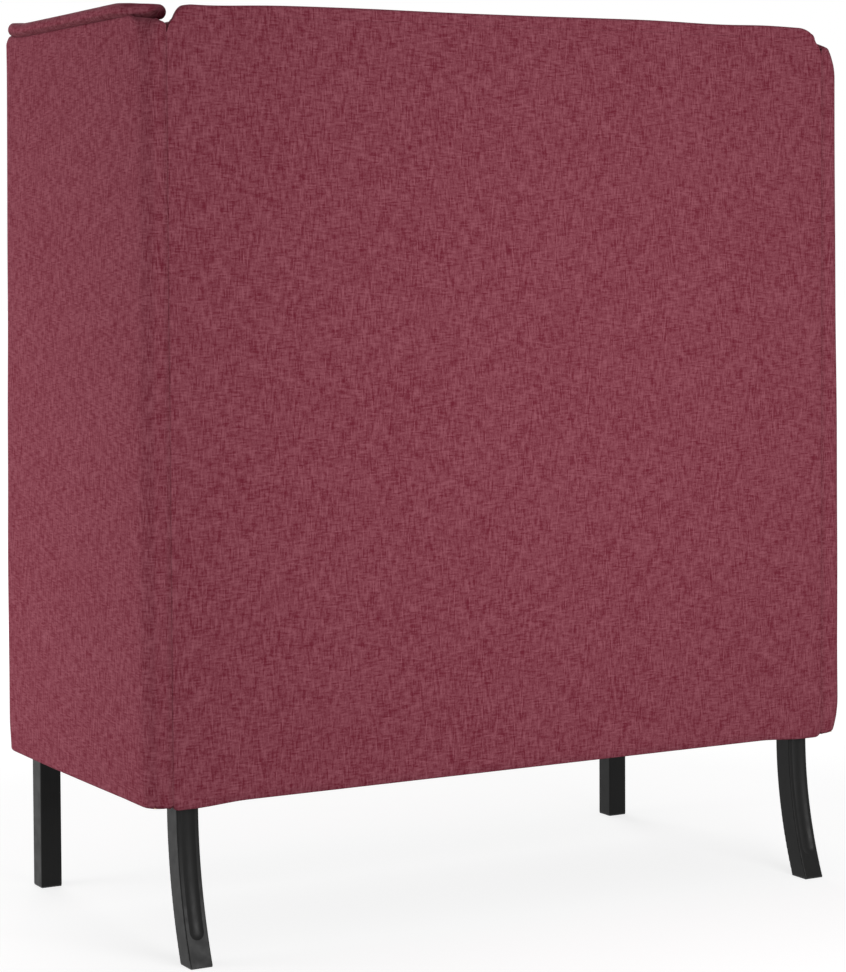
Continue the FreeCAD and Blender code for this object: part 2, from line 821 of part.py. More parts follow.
def back_top_band():
    """Soft strip that wraps over the top of the back."""
    front_y = webbing_front_y - BACK_INNER_TOP
    depth = back_y - front_y
    half = back_half_x - PANEL_GAP
    pad = crowned_slab(2 * half, depth, TOP_BAND_EDGE, TOP_BAND_CROWN)
    pad.translate(Vector(0, (front_y + back_y) / 2, back_frame_top))
    inner = wing_inner_x - BACK_INNER_SIDE_GAP
    cutter = block(
        Vector(inner, front_y - OVERRUN, back_frame_top - OVERRUN),
        Vector(back_half_x + OVERRUN, back_frame_front_y, BODY_HEIGHT + OVERRUN),
    )
    band = pad.cut(cutter).cut(mirrored(cutter))
    return rounded_top(band, back_half_x, BODY_HEIGHT + PANEL_GAP, BACK_COVER_CORNER)


# Wings, made for the right-hand side


def wing_upright(front_y, rear_y, joints):
    post = block(
        Vector(wing_frame_in_x, front_y, frame_bottom),
        Vector(wing_frame_out_x, rear_y, wing_frame_top),
    )
    return drilled(post, mouths=threaded(joints))


def wing_front_post():
    return wing_upright(wing_post_front_y, wing_post_front_y + WING_POST_WIDTH, [])


def wing_rear_post():
    post = wing_upright(wing_post_rear_y - WING_POST_WIDTH, wing_post_rear_y, right_hand(wing_bolts()))
    return rounded_rear(post, wing_post_rear_y, wing_frame_top, WING_CORNER_RADIUS)


def wing_rail(low, high, joints):
    rail = block(
        Vector(wing_frame_in_x, wing_post_front_y + WING_POST_WIDTH, low),
        Vector(wing_frame_out_x, wing_post_rear_y - WING_POST_WIDTH, high),
    )
    return drilled(rail, mouths=threaded(joints))


def wing_bottom_rail():
    return wing_rail(frame_bottom, frame_bottom + WING_BOTTOM_RAIL_HEIGHT, right_hand(seat_bolts()))


def wing_mid_rail():
    low = frame_bottom + WING_MID_RAIL_RISE
    return wing_rail(low, low + WING_MID_RAIL_HEIGHT, [])


def wing_top_rail():
    return wing_rail(wing_frame_top - WING_TOP_RAIL_HEIGHT, wing_frame_top, [])


def wing_outer_board():
    """Board that stops short of the bottom edge, where the cover is pulled in and under."""
    board = block(
        Vector(wing_frame_out_x, wing_post_front_y, frame_bottom + WING_BOARD_RISE),
        Vector(outer_board_x, wing_post_rear_y, wing_frame_top),
    )
    return rounded_rear(board, wing_post_rear_y, wing_frame_top, WING_CORNER_RADIUS)


def wing_inner_board():
    board = block(
        Vector(inner_board_x, wing_post_front_y, frame_bottom),
        Vector(wing_frame_in_x, back_frame_front_y, wing_frame_top),
    )
    return drilled(board, seats=right_hand(seat_bolts()))


def wing_outer_cover():
    height = wing_frame_top - LEG_HEIGHT
    pad = crowned_slab(WING_DEPTH, height, WING_OUTER_PAD, WING_OUTER_CROWN)
    middle = Vector(outer_board_x, (wing_front_y + back_y) / 2, LEG_HEIGHT + height / 2)
    cover = stood_up(pad, middle, Vector(0, 1, 0), Vector(0, 0, 1))
    return rounded_rear(cover, back_y + PANEL_GAP, wing_frame_top + PANEL_GAP, WING_COVER_CORNER)


def wing_inner_cover():
    """Flat beside the seat box and the back pad, crowned over the part that shows above the seat."""
    top = wing_frame_top + TOP_BAND_EDGE
    flat = block(
        Vector(wing_inner_x, wing_front_y, LEG_HEIGHT),
        Vector(inner_board_x, back_frame_front_y, top),
    )
    crown_depth = back_pad_front_y - wing_front_y
    crown_height = top - deck_top
    crown = crowned_slab(crown_depth, crown_height, WING_INNER_PAD, WING_INNER_CROWN)
    middle = Vector(inner_board_x, wing_front_y + crown_depth / 2, deck_top + crown_height / 2)
    crown = stood_up(crown, middle, Vector(0, -1, 0), Vector(0, 0, 1))
    cover = flat.fuse(crown).removeSplitter()
    return drilled(cover, seats=right_hand(seat_bolts()))


def wing_top_band():
    width = wing_outer_x - wing_frame_in_x
    length = WING_DEPTH - WING_BAND_SETBACK
    pad = crowned_slab(width, length, TOP_BAND_EDGE, TOP_BAND_CROWN)
    pad.translate(Vector(wing_frame_in_x + width / 2, wing_front_y + length / 2, wing_frame_top))
    return pad


def wing_edge_pads():
    """Thin foam strips on the front and rear edges of a wing frame."""
    strips = []
    for low_y in (wing_front_y, wing_post_rear_y):
        strips.append(block(
            Vector(wing_frame_in_x, low_y, LEG_HEIGHT),
            Vector(outer_board_x, low_y + WING_EDGE_PAD, wing_frame_top),
        ))
    front, rear = strips
    rear = rounded_rear(rear, back_y + PANEL_GAP, wing_frame_top + PANEL_GAP, WING_COVER_CORNER)
    return group([front, rear])


# Every node of the assembly

paired = {
    "front_leg": front_leg(),
    "rear_leg": rear_leg(),
    "seat_side_rail": side_rail(),
    "back_post": back_post(),
    "wing_front_post": wing_front_post(),
    "wing_rear_post": wing_rear_post(),
    "wing_bottom_rail": wing_bottom_rail(),
    "wing_mid_rail": wing_mid_rail(),
    "wing_top_rail": wing_top_rail(),
    "wing_outer_board": wing_outer_board(),
    "wing_inner_board": wing_inner_board(),
    "wing_outer_cover": wing_outer_cover(),
    "wing_inner_cover": wing_inner_cover(),
    "wing_top_band": wing_top_band(),
    "wing_edge_pads": wing_edge_pads(),
}

nodes = {
    "foot_glides": foot_glides(),
    "leg_hanger_bolts": group([hanger_bolt(crossing) for crossing in leg_bolts()]),
    "insert_nuts": group([insert_nut(mouth, way) for mouth, way in insert_mouths()]),
    "bolt_washers": group([washer(seat, way) for seat, way, reach in all_joints()]),
    "seat_to_wing_bolts": group([joining_bolt(*joint) for joint in seat_bolts()]),
    "back_to_wing_bolts": group([joining_bolt(*joint) for joint in wing_bolts()]),
    "seat_to_back_bolts": group([joining_bolt(*joint) for joint in back_bolts()]),
    "seat_front_rail": front_rail(),
    "seat_rear_rail": rear_rail(),
    "seat_centre_rail": centre_rail(),
    "seat_corner_blocks": corner_blocks(),
    "seat_springs": seat_springs(),
    "spring_clips": spring_clips(),
    "spring_tie_wires": tie_wires(),
    "seat_deck_pad": deck_pad(),
    "seat_front_border": front_border(),
    "dust_cover": dust_cover(),
    "seat_cushion_core": seat_cushion_core(),
    "seat_cushion_cover": seat_cushion_cover(),
    "back_bottom_rail": back_bottom_rail(),
    "back_top_rail": back_top_rail(),
    "back_lumbar_rail": back_lumbar_rail(),
    "back_centre_stile": back_centre_stile(),
    "back_board": back_board(),
    "back_webbing": back_webbing(),
    "inside_back_pad": inside_back_pad(),
    "outer_back_cover": outer_back_cover(),
    "back_top_band": back_top_band(),
}

for name, right_piece in paired.items():
    nodes[name + "_right"] = right_piece
    nodes[name + "_left"] = mirrored(right_piece)

os.makedirs("parts", exist_ok=True)
for name, shape in nodes.items():
    shape.exportStep("parts/" + name + ".step")
    print(name, len(shape.Solids), "solids", round(shape.Volume / 1000), "cm3", "valid", shape.isValid())
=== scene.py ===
# %% [markdown]
# # A high-back sofa, from bare frame to finished cloth
#
# The rails, posts, springs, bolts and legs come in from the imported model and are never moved. This lesson
# makes what is soft, and the finishes, the light and the camera. Everything is in metres. The seat faces
# -Y, the outer back faces +Y, and +Z is up.

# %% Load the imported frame
import math

import bmesh
import bpy
import numpy as np
from mathutils import Matrix, Vector, noise


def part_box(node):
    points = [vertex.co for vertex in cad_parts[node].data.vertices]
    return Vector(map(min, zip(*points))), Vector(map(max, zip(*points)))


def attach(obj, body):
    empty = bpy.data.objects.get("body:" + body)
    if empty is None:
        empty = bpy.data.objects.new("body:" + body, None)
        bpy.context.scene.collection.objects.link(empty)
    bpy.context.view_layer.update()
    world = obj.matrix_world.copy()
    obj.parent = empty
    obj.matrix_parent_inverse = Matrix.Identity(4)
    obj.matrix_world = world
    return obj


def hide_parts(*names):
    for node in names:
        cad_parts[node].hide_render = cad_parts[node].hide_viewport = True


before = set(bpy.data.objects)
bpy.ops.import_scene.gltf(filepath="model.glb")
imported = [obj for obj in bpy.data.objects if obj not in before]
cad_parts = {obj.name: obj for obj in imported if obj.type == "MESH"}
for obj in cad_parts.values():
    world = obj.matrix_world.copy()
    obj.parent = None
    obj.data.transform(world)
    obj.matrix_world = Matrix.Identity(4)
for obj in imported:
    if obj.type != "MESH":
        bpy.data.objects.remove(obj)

scene = bpy.context.scene
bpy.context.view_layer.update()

# %% [markdown]
# ## Nodes in few words
#
# Every finish below is a node tree. Typing out each node takes many lines, so small helpers make a material
# with its main shader, add one node with its settings, and do the few sums that every finish needs.

# %% Helpers for node trees
def new_finish(name):
    """A material with an empty main shader: returns the material, its tree and the shader."""
    material = bpy.data.materials.new(name)
    material.use_nodes = True
    return material, material.node_tree, material.node_tree.nodes["Principled BSDF"]


def add_node(tree, kind, inputs=(), **settings):
    """Adds one node. Inputs are pairs of a socket's name or number and a value or another socket."""
    made = tree.nodes.new(kind)
    for setting, value in settings.items():
        setattr(made, setting, value)
    for socket, value in inputs:
        if isinstance(value, bpy.types.NodeSocket):
            tree.links.new(value, made.inputs[socket])
        else:
            made.inputs[socket].default_value = value
    return made


def flat_noise(tree, place, scale, detail):
    """Even noise: so many spots per metre."""
    inputs = [("Vector", place), ("Scale", scale), ("Detail", detail)]
    return add_node(tree, "ShaderNodeTexNoise", inputs, noise_dimensions="2D").outputs["Fac"]


def weighed(tree, first, share, second):
    """first plus share times second."""
    inputs = [(0, second), (1, share), (2, first)]
    return add_node(tree, "ShaderNodeMath", inputs, operation="MULTIPLY_ADD").outputs["Value"]


def between(tree, factor, dark, light):
    """A colour between two, picked by a factor from 0 to 1."""
    inputs = [(0, factor), (6, (*dark, 1.0)), (7, (*light, 1.0))]
    return add_node(tree, "ShaderNodeMix", inputs, data_type="RGBA").outputs[2]


def from_range(tree, value, low, high, to_low=0.0, to_high=1.0):
    """A value moved from one range to another, and held inside it."""
    limits = [("From Min", low), ("From Max", high), ("To Min", to_low), ("To Max", to_high)]
    inputs = [("Value", value)] + limits
    return add_node(tree, "ShaderNodeMapRange", inputs).outputs["Result"]


def bumped(tree, shader, height, depth, strength):
    """Feeds a height to the shader's normal."""
    inputs = [("Height", height), ("Distance", depth), ("Strength", strength)]
    bump = add_node(tree, "ShaderNodeBump", inputs)
    tree.links.new(bump.outputs["Normal"], shader.inputs["Normal"])


print("node helpers ready")

# %% [markdown]
# ## The wine-red cloth
#
# The cover is a plain weave with uneven yarn: lighter and darker dashes run both ways along straight threads
# just under two millimetres wide. A picture of cloth could be wrapped on, but it would repeat. Here every
# thread starts at a random place in a long run of noise, once along the weft and once along the warp, with
# fine flecks and faint wide patches on top. Each piece carries a UV map in metres named cloth, so the yarn
# follows the cloth round every edge at its true size. A point attribute paints shade into the colour in
# seams and folds.

# %% The upholstery finish
CLOTH_DARK = (0.158, 0.018, 0.034)
CLOTH_LIGHT = (0.306, 0.089, 0.117)
# Colour of the shade painted into seams and under the wings' rolls.
PAINTED_SHADE_COLOUR = (0.03, 0.018, 0.014)
THREAD_START = 900.0
THREADS = 540.0
WEFT_SHARE = 0.30
WEFT_DASHES = 46.0
WARP_SHARE = 0.36
WARP_DASHES = 42.0
FLECK_SHARE = 0.20
FLECKS = 400.0
PATCH_SHARE = 0.045
PATCHES = 9.0
TONE_LOW = 0.318
TONE_HIGH = 0.588


def thread_noise(tree, place, lanes, dashes, upright=False):
    """Straight threads, so many per metre, each with its own light and dark dashes, so many per metre."""
    across, along = ("X", "Y") if upright else ("Y", "X")
    parts = add_node(tree, "ShaderNodeSeparateXYZ", [("Vector", place)]).outputs
    inputs = [(0, parts[across]), (1, lanes)]
    lane = add_node(tree, "ShaderNodeMath", inputs, operation="MULTIPLY").outputs[0]
    number = add_node(tree, "ShaderNodeMath", [(0, lane)], operation="FLOOR").outputs[0]
    lane_noise = add_node(tree, "ShaderNodeTexWhiteNoise", [("W", number)], noise_dimensions="1D")
    start = lane_noise.outputs["Value"]
    inputs = [(0, parts[along]), (1, dashes)]
    run = add_node(tree, "ShaderNodeMath", inputs, operation="MULTIPLY").outputs[0]
    run = weighed(tree, run, THREAD_START, start)
    inputs = [("W", run), ("Scale", 1.0), ("Detail", 1.0)]
    return add_node(tree, "ShaderNodeTexNoise", inputs, noise_dimensions="1D").outputs["Fac"]


def upholstery_finish():
    """The wine-red cloth: two sets of threads, flecks and patches, with shade painted into seams and folds.
    """
    material, tree, shader = new_finish("wine_cloth")
    place = add_node(tree, "ShaderNodeUVMap", uv_map="cloth").outputs["UV"]
    mixed = weighed(tree, 0.0, WEFT_SHARE, thread_noise(tree, place, THREADS, WEFT_DASHES))
    mixed = weighed(tree, mixed, WARP_SHARE, thread_noise(tree, place, THREADS, WARP_DASHES, upright=True))
    mixed = weighed(tree, mixed, FLECK_SHARE, flat_noise(tree, place, FLECKS, detail=1.0))
    mixed = weighed(tree, mixed, PATCH_SHARE, flat_noise(tree, place, PATCHES, detail=2.0))
    tone = from_range(tree, mixed, TONE_LOW, TONE_HIGH)
    colour = between(tree, tone, CLOTH_DARK, CLOTH_LIGHT)
    # Painted shade: a point attribute pulls the colour towards a dark brown in seams and folds.
    painted_shade = add_node(tree, "ShaderNodeAttribute", attribute_name="painted_shade").outputs["Fac"]
    shaded = add_node(
        tree, "ShaderNodeMix", [(0, painted_shade), (6, colour), (7, (*PAINTED_SHADE_COLOUR, 1.0))], data_type="RGBA")
    tree.links.new(shaded.outputs[2], shader.inputs["Base Color"])
    bumped(tree, shader, mixed, depth=0.0012, strength=0.35)
    tree.links.new(from_range(tree, tone, 0.0, 1.0, 0.95, 0.8), shader.inputs["Roughness"])
    shader.inputs["Specular IOR Level"].default_value = 0.06
    shader.inputs["Sheen Weight"].default_value = 0.01
    shader.inputs["Sheen Roughness"].default_value = 0.5
    shader.inputs["Sheen Tint"].default_value = (0.9, 0.45, 0.5, 1.0)
    return material


wine_cloth = upholstery_finish()
print("made the finish", wine_cloth.name)

# %% [markdown]
# ## The black lacquer of the legs
#
# The legs are hardwood under a satin black lacquer. The lacquer is nearly black, and what shows it is the
# light it throws back, so the care goes into the roughness: faint grain runs up the leg under the film, and
# a few duller patches break the shine.

# %% The leg finish
LACQUER_DARK = (0.005, 0.005, 0.005)
LACQUER_LIGHT = (0.010, 0.0098, 0.0095)


def lacquer_finish():
    """The black satin lacquer of the legs."""
    material, tree, shader = new_finish("black_lacquer")
    place = add_node(tree, "ShaderNodeTexCoord").outputs["Object"]
    grain_scale = add_node(tree, "ShaderNodeMapping", [("Vector", place), ("Scale", (420.0, 420.0, 14.0))])
    grain = add_node(tree, "ShaderNodeTexNoise", [("Vector", grain_scale.outputs["Vector"]), ("Scale", 1.0)])
    patches = add_node(tree, "ShaderNodeTexNoise", [("Vector", place), ("Scale", 60.0), ("Detail", 4.0)])
    colour = between(tree, grain.outputs["Fac"], LACQUER_DARK, LACQUER_LIGHT)
    tree.links.new(colour, shader.inputs["Base Color"])
    dullness = from_range(tree, patches.outputs["Fac"], 0.3, 0.7, 0.3, 0.46)
    tree.links.new(dullness, shader.inputs["Roughness"])
    bumped(tree, shader, grain.outputs["Fac"], depth=0.0003, strength=0.12)
    shader.inputs["Specular IOR Level"].default_value = 0.15
    return material


black_lacquer = lacquer_finish()
print("made the finish", black_lacquer.name)

# %% [markdown]
# ## The finishes inside
#
# Under the cloth are timber, hardboard, zinc-plated steel and elastic webbing. Most of them stay hidden, but
# each piece has a finish of its own, as if the sofa were taken apart. Black lining closes the underside and
# covers the deck. Each finish is a small tree on Object coordinates, so the pattern has its true size on
# every piece.

# %% Timber, board, steel, plastic and webbing
def streaked_finish(name, dark, light, scale, roughness, bump_depth, metallic=0.0):
    """A finish whose tone follows noise stretched by a scale along X, Y and Z."""
    material, tree, shader = new_finish(name)
    place = add_node(tree, "ShaderNodeTexCoord").outputs["Object"]
    scaled = add_node(tree, "ShaderNodeMapping", [("Vector", place), ("Scale", scale)])
    inputs = [("Vector", scaled.outputs["Vector"]), ("Scale", 1.0), ("Detail", 5.0), ("Distortion", 0.4)]
    streaks = add_node(tree, "ShaderNodeTexNoise", inputs).outputs["Fac"]
    tone = from_range(tree, streaks, 0.3, 0.7)
    tree.links.new(between(tree, tone, dark, light), shader.inputs["Base Color"])
    low, high = roughness
    tree.links.new(from_range(tree, streaks, 0.3, 0.7, low, high), shader.inputs["Roughness"])
    bumped(tree, shader, streaks, depth=bump_depth, strength=0.3)
    shader.inputs["Metallic"].default_value = metallic
    return material


TIMBER_DARK = (0.42, 0.27, 0.15)
TIMBER_LIGHT = (0.60, 0.43, 0.27)
ACROSS_GRAIN = 170.0
ALONG_GRAIN = 9.0


def timber_finish(name, grain_axis):
    """Timber whose grain runs along one axis: 0, 1 or 2."""
    scale = [ALONG_GRAIN if axis == grain_axis else ACROSS_GRAIN for axis in range(3)]
    return streaked_finish(name, TIMBER_DARK, TIMBER_LIGHT, scale, (0.55, 0.75), 0.0006)


upright_timber = timber_finish("timber_upright", grain_axis=2)
cross_timber = timber_finish("timber_across", grain_axis=0)
deep_timber = timber_finish("timber_front_to_back", grain_axis=1)
hardboard = streaked_finish(
    "hardboard", (0.17, 0.10, 0.055), (0.29, 0.19, 0.11), (260.0, 260.0, 260.0), (0.6, 0.85), 0.0004)
zinc_steel = streaked_finish(
    "zinc_steel", (0.46, 0.46, 0.45), (0.66, 0.66, 0.64), (210.0, 210.0, 210.0), (0.25, 0.42), 0.0001, 1.0)
glide_plastic = streaked_finish(
    "glide_plastic", (0.012, 0.012, 0.012), (0.022, 0.022, 0.022), (400.0, 400.0, 400.0), (0.4, 0.6), 0.0002)
back_strap = streaked_finish(
    "elastic_strap", (0.035, 0.034, 0.032), (0.105, 0.10, 0.095), (30.0, 30.0, 650.0), (0.75, 0.9), 0.0008)
print("made the finishes of the frame")

# %% The black lining cloth
LINING_DARK = (0.012, 0.012, 0.013)
LINING_LIGHT = (0.04, 0.04, 0.042)
LINING_DOTS = 420.0
LINING_FIBRES = 900.0


def lining_finish():
    """Thin bonded cloth with a small pressed diamond pattern."""
    material, tree, shader = new_finish("black_lining")
    place = add_node(tree, "ShaderNodeTexCoord").outputs["Object"]
    turned = add_node(
        tree, "ShaderNodeMapping", [("Vector", place), ("Rotation", (0.0, 0.0, math.radians(45.0)))])
    inputs = [("Vector", turned.outputs["Vector"]), ("Scale", LINING_DOTS), ("Randomness", 0.15)]
    dots = add_node(tree, "ShaderNodeTexVoronoi", inputs)
    inputs = [("Vector", place), ("Scale", LINING_FIBRES), ("Detail", 6.0)]
    fibres = add_node(tree, "ShaderNodeTexNoise", inputs)
    tone = weighed(tree, 0.0, 0.6, fibres.outputs["Fac"])
    tone = weighed(tree, tone, 0.5, dots.outputs["Distance"])
    colour = between(tree, tone, LINING_DARK, LINING_LIGHT)
    tree.links.new(colour, shader.inputs["Base Color"])
    bumped(tree, shader, tone, depth=0.0006, strength=0.4)
    shader.inputs["Roughness"].default_value = 0.9
    shader.inputs["Specular IOR Level"].default_value = 0.2
    return material


black_lining = lining_finish()
print("made the finish", black_lining.name)

# %% [markdown]
# ## Giving the bare frame its finishes
#
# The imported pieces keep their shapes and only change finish. The grain of a rail runs along the rail, so
# timber comes in three directions.

# %% Finish the frame's pieces
FRAME_FINISHES = [
    (black_lacquer, ["front_leg", "rear_leg"]),
    (glide_plastic, ["foot_glides"]),
    (upright_timber, ["back_post", "back_centre_stile", "wing_front_post", "wing_rear_post"]),
    (cross_timber, ["seat_front_rail", "seat_rear_rail", "back_bottom_rail", "back_top_rail",
                    "back_lumbar_rail"]),
    (deep_timber, ["seat_side_rail", "seat_centre_rail", "seat_corner_blocks",
                   "wing_bottom_rail", "wing_mid_rail", "wing_top_rail"]),
    (hardboard, ["back_board", "wing_outer_board", "wing_inner_board"]),
    (zinc_steel, ["leg_hanger_bolts", "insert_nuts", "bolt_washers", "seat_to_wing_bolts",
                  "back_to_wing_bolts", "seat_to_back_bolts", "seat_springs", "spring_clips",
                  "spring_tie_wires"]),
    (back_strap, ["back_webbing"]),
]


def finish_frame():
    """Puts its finish on every timber, board, spring, bolt, leg and glide of the frame."""
    finished = 0
    for material, stems in FRAME_FINISHES:
        for stem in stems:
            for name in (stem, stem + "_right", stem + "_left"):
                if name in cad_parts:
                    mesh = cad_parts[name].data
                    mesh.materials.clear()
                    mesh.materials.append(material)
                    finished += 1
    return finished


print("finished", finish_frame(), "pieces of the frame")

# %% [markdown]
# ## How a soft cover is shaped
#
# A cover pulled over wadding is close to a plain panel, but never quite: it is fullest in its middle, it
# falls away at its edges, and it waves a little. A box with bevelled edges looks hard. Here each cover is
# a stack of closed rings joined into one skin, and every ring can swell, tuck in or droop by a formula.

# %% Helpers for soft edges
def ease(share):
    """From 0 to 1 with a soft start and end, and level outside that."""
    share = min(max(share, 0.0), 1.0)
    return share * share * (3 - 2 * share)


def edge_fall(distance, radius):
    """How far a rounded edge has fallen back, at a distance in from the edge."""
    inward = radius - min(max(distance, 0.0), radius)
    return radius - math.sqrt(radius * radius - inward * inward)


def fullness(share):
    """1 in the middle of a panel and 0 at its two edges, where share is 0 and 1."""
    return 1 - abs(2 * min(max(share, 0.0), 1.0) - 1) ** 2.5


def waviness(x, y, z, size, depth):
    """The slight waves that wadding leaves under stretched cloth."""
    return depth * noise.noise(Vector((x, y, z)) / size)


def stations(low, high, edge, spacing):
    """Places from low to high: close where the edges are rounded, evenly spaced between them."""
    turn = [edge * (1 - math.cos(math.radians(15 * step))) for step in range(6)]
    run = np.linspace(low + edge, high - edge, max(2, round((high - low - 2 * edge) / spacing)) + 1)
    return [low + reach for reach in turn] + list(run) + [high - reach for reach in reversed(turn)]


def rounded_outline(corners, turn_steps=6):
    """Points round an outline. Each corner has two coordinates, a radius and the steps to the next one."""
    points = []
    for index, (across, up, radius, steps) in enumerate(corners):
        corner = Vector((across, up))
        last = (Vector(corners[index - 1][:2]) - corner).normalized()
        following = (Vector(corners[(index + 1) % len(corners)][:2]) - corner).normalized()
        half_angle = last.angle(following) / 2
        centre = corner + (last + following).normalized() * (radius / math.sin(half_angle))
        spoke = corner + last * (radius / math.tan(half_angle)) - centre
        turn = math.pi - 2 * half_angle
        sense = 1 if last.cross(following) < 0 else -1
        for step in range(turn_steps + 1):
            points.append(centre + Matrix.Rotation(sense * turn * step / turn_steps, 2) @ spoke)
        start = points[-1]
        next_across, next_up, next_radius, _ = corners[(index + 1) % len(corners)]
        reach = next_radius / math.tan(next_angle(corners, index) / 2)
        end = Vector((next_across, next_up)) - following * reach
        for step in range(1, steps):
            points.append(start.lerp(end, step / steps))
    return np.array([tuple(point) for point in points])


def next_angle(corners, index):
    """The angle between the two runs that meet at the corner after the given one."""
    count = len(corners)
    corner = Vector(corners[(index + 1) % count][:2])
    back = Vector(corners[index][:2]) - corner
    ahead = Vector(corners[(index + 2) % count][:2]) - corner
    return back.angle(ahead)


print("soft-edge helpers ready")

# %% [markdown]
# ## One skin from a stack of rings
#
# The same few lines close every cover: faces between neighbouring rings, a cap on each end, faces turned
# outwards. The cloth's UV map is measured along the rings and from ring to ring, in metres, so the weave is
# neither stretched nor shrunk.

# %% Helper that sews rings into a cover
def running_length(points):
    """Distance from the first point to each point of a path."""
    return np.concatenate([[0.0], np.cumsum(np.linalg.norm(np.diff(points, axis=0), axis=1))])


def skin_mesh(name, rings, upright_rings=False):
    """A closed mesh from rings of equal counts. upright_rings turns the cloth so its weft stays level."""
    rings = np.asarray(rings, float)
    rows, count, _ = rings.shape
    widest = rings[np.argmax([running_length(ring)[-1] for ring in rings])]
    around = running_length(np.vstack([widest, widest[:1]]))
    steps = np.linalg.norm(np.diff(rings, axis=0), axis=2).mean(axis=1)
    along = np.concatenate([[0.0], np.cumsum(steps)])
    shape = bmesh.new()
    cloth = shape.loops.layers.uv.new("cloth")
    points = [[shape.verts.new(point) for point in ring] for ring in rings]
    for row in range(rows - 1):
        for index in range(count):
            after = (index + 1) % count
            low, high = points[row], points[row + 1]
            face = shape.faces.new((low[index], low[after], high[after], high[index]))
            places = [(index, row), (index + 1, row), (index + 1, row + 1), (index, row + 1)]
            for loop, (step, level) in zip(face.loops, places):
                place = (around[step], along[level])
                loop[cloth].uv = place[::-1] if upright_rings else place
    shape.faces.new(reversed(points[0]))
    shape.faces.new(points[-1])
    bmesh.ops.recalc_face_normals(shape, faces=shape.faces)
    mesh = bpy.data.meshes.new(name)
    shape.to_mesh(mesh)
    shape.free()
    mesh.shade_smooth()
    return mesh


def add_piece(name, mesh, material, body="sofa"):
    """Puts a finished mesh in the scene as a piece that rides on a body."""
    mesh.materials.clear()
    mesh.materials.append(material)
    piece = bpy.data.objects.new(name, mesh)
    scene.collection.objects.link(piece)
    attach(piece, body)
    return piece


def add_cover(name, mesh, nodes, material=wine_cloth, body="sofa"):
    """Adds a padded piece that stands for some of the frame's soft solids."""
    cover = add_piece(name, mesh, material, body)
    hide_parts(*nodes)
    print(name, len(mesh.polygons), "faces")
    return cover


print("ring and cover helpers ready")

# %% [markdown]
# ## The wings
#
# Each wing is one cover sewn round a flat frame: outside, rear edge, front edge and inside. Seen from above
# it is a long rounded outline, and that outline is stacked from the bottom edge to the top. The outside is
# fuller low down than at the top, the bottom edge is pulled in, and the upper rear corner is rounded off.
# Shade is painted into the cloth along the upright seam, where it turns in.

# %% The sizes of a wing
wing_low, wing_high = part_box("wing_outer_cover_right")
inside_low, inside_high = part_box("wing_inner_cover_right")
post_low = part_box("wing_rear_post_right")[0]
band_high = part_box("wing_top_band_right")[1]
WADDING = 0.004
TOP_PULL = 0.0002
LOW_SWELL = 0.0088
INSIDE_SWELL = 0.005
BOTTOM_TUCK = 0.005
HEM_RADIUS = 0.0058
TOP_RADIUS = 0.0045
SEAM_RADIUS = 0.0016
SIDE_RADIUS = 0.0155
CORNER_HEIGHT = 0.055
FOOT_HEIGHT = 0.030
FOOT_ROUND = 0.013
FOOT_DROOP = 0.001
CORNER_ROUND = 0.014
CORNER_INSET = 0.017
FRONT_LIFT = 0.005
FRONT_INSET = 0.0045
REAR_DROP = 0.0065
SEAM_DROP = 0.006
SEAM_DROP_REACH = 0.011
FRONT_TUCK = 0.002
SEAM_GAP = 0.0006
ROLL_HEIGHT = 0.0195
ROLL_REACH = 0.002
HEM_RISE = 0.0009
wing_face_x = wing_high.x - WADDING
wing_front_y = wing_low.y + FRONT_TUCK
wing_inside_x = inside_low.x + INSIDE_SWELL
wing_seam_x = post_low.x - SEAM_GAP
wing_top = band_high.z - ROLL_HEIGHT
roll_end = band_high.y + ROLL_REACH
seat_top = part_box("seat_deck_pad")[1].z
wing_bottom = wing_low.z + HEM_RISE
print("the wing covers run from", round(wing_bottom, 4), "to", round(wing_top, 4), "m high")

# %% The plan of a wing
STEP_RADIUS = 0.0005
STEP_DEPTH = 0.008
INSIDE_REAR_RADIUS = 0.002
INSIDE_FRONT_RADIUS = 0.013


def wing_outline(rear_radius):
    """Plan of the right-hand wing: outside, rear edge to the seam, step behind the back pad, inside."""
    return rounded_outline([
        (wing_face_x, wing_front_y, SIDE_RADIUS, 42),
        (wing_face_x, wing_high.y, rear_radius, 4),
        (wing_seam_x, wing_high.y, SEAM_RADIUS, 6),
        (wing_seam_x, inside_high.y, STEP_RADIUS, 2),
        (wing_inside_x, inside_high.y - STEP_DEPTH, INSIDE_REAR_RADIUS, 36),
        (wing_inside_x, wing_front_y, INSIDE_FRONT_RADIUS, 3),
    ])


def outward_ways(outline):
    """Unit vectors that point out of an outline that runs counter-clockwise."""
    along = np.roll(outline, -1, axis=0) - np.roll(outline, 1, axis=0)
    ways = np.stack([along[:, 1], -along[:, 0]], axis=1)
    return ways / np.linalg.norm(ways, axis=1)[:, None]


print("the plan of a wing has", len(wing_outline(SIDE_RADIUS)), "points")

# %% One ring of a wing
FRONT_LIFT_REACH = 0.08
HEM_REACH = 0.05
TOP_REACH = 0.06
FRONT_PULL_HEIGHT = 0.013
FRONT_PULL_REACH = 0.04
PAD_MARGIN = 0.05
WING_WAVE_SIZE = 0.17
WING_WAVE_DEPTH = 0.0009
REAR_DROP_LEAD = 0.012
REAR_DROP_REACH = 0.022
FOOT_DROOP_LEAD = 0.10
FOOT_DROOP_REACH = 0.08
SWELL_HEIGHT = 0.85
SWELL_EDGE = 0.7
SWELL_MIDDLE = 0.3
TUCK_FRONT = 0.35
TUCK_MORE = 0.65
INWARD_WAY = -0.5


def front_lift(y):
    """How far the wing's top rises towards its front end."""
    return FRONT_LIFT * ease((wing_front_y + FRONT_LIFT_REACH - y) / FRONT_LIFT_REACH)


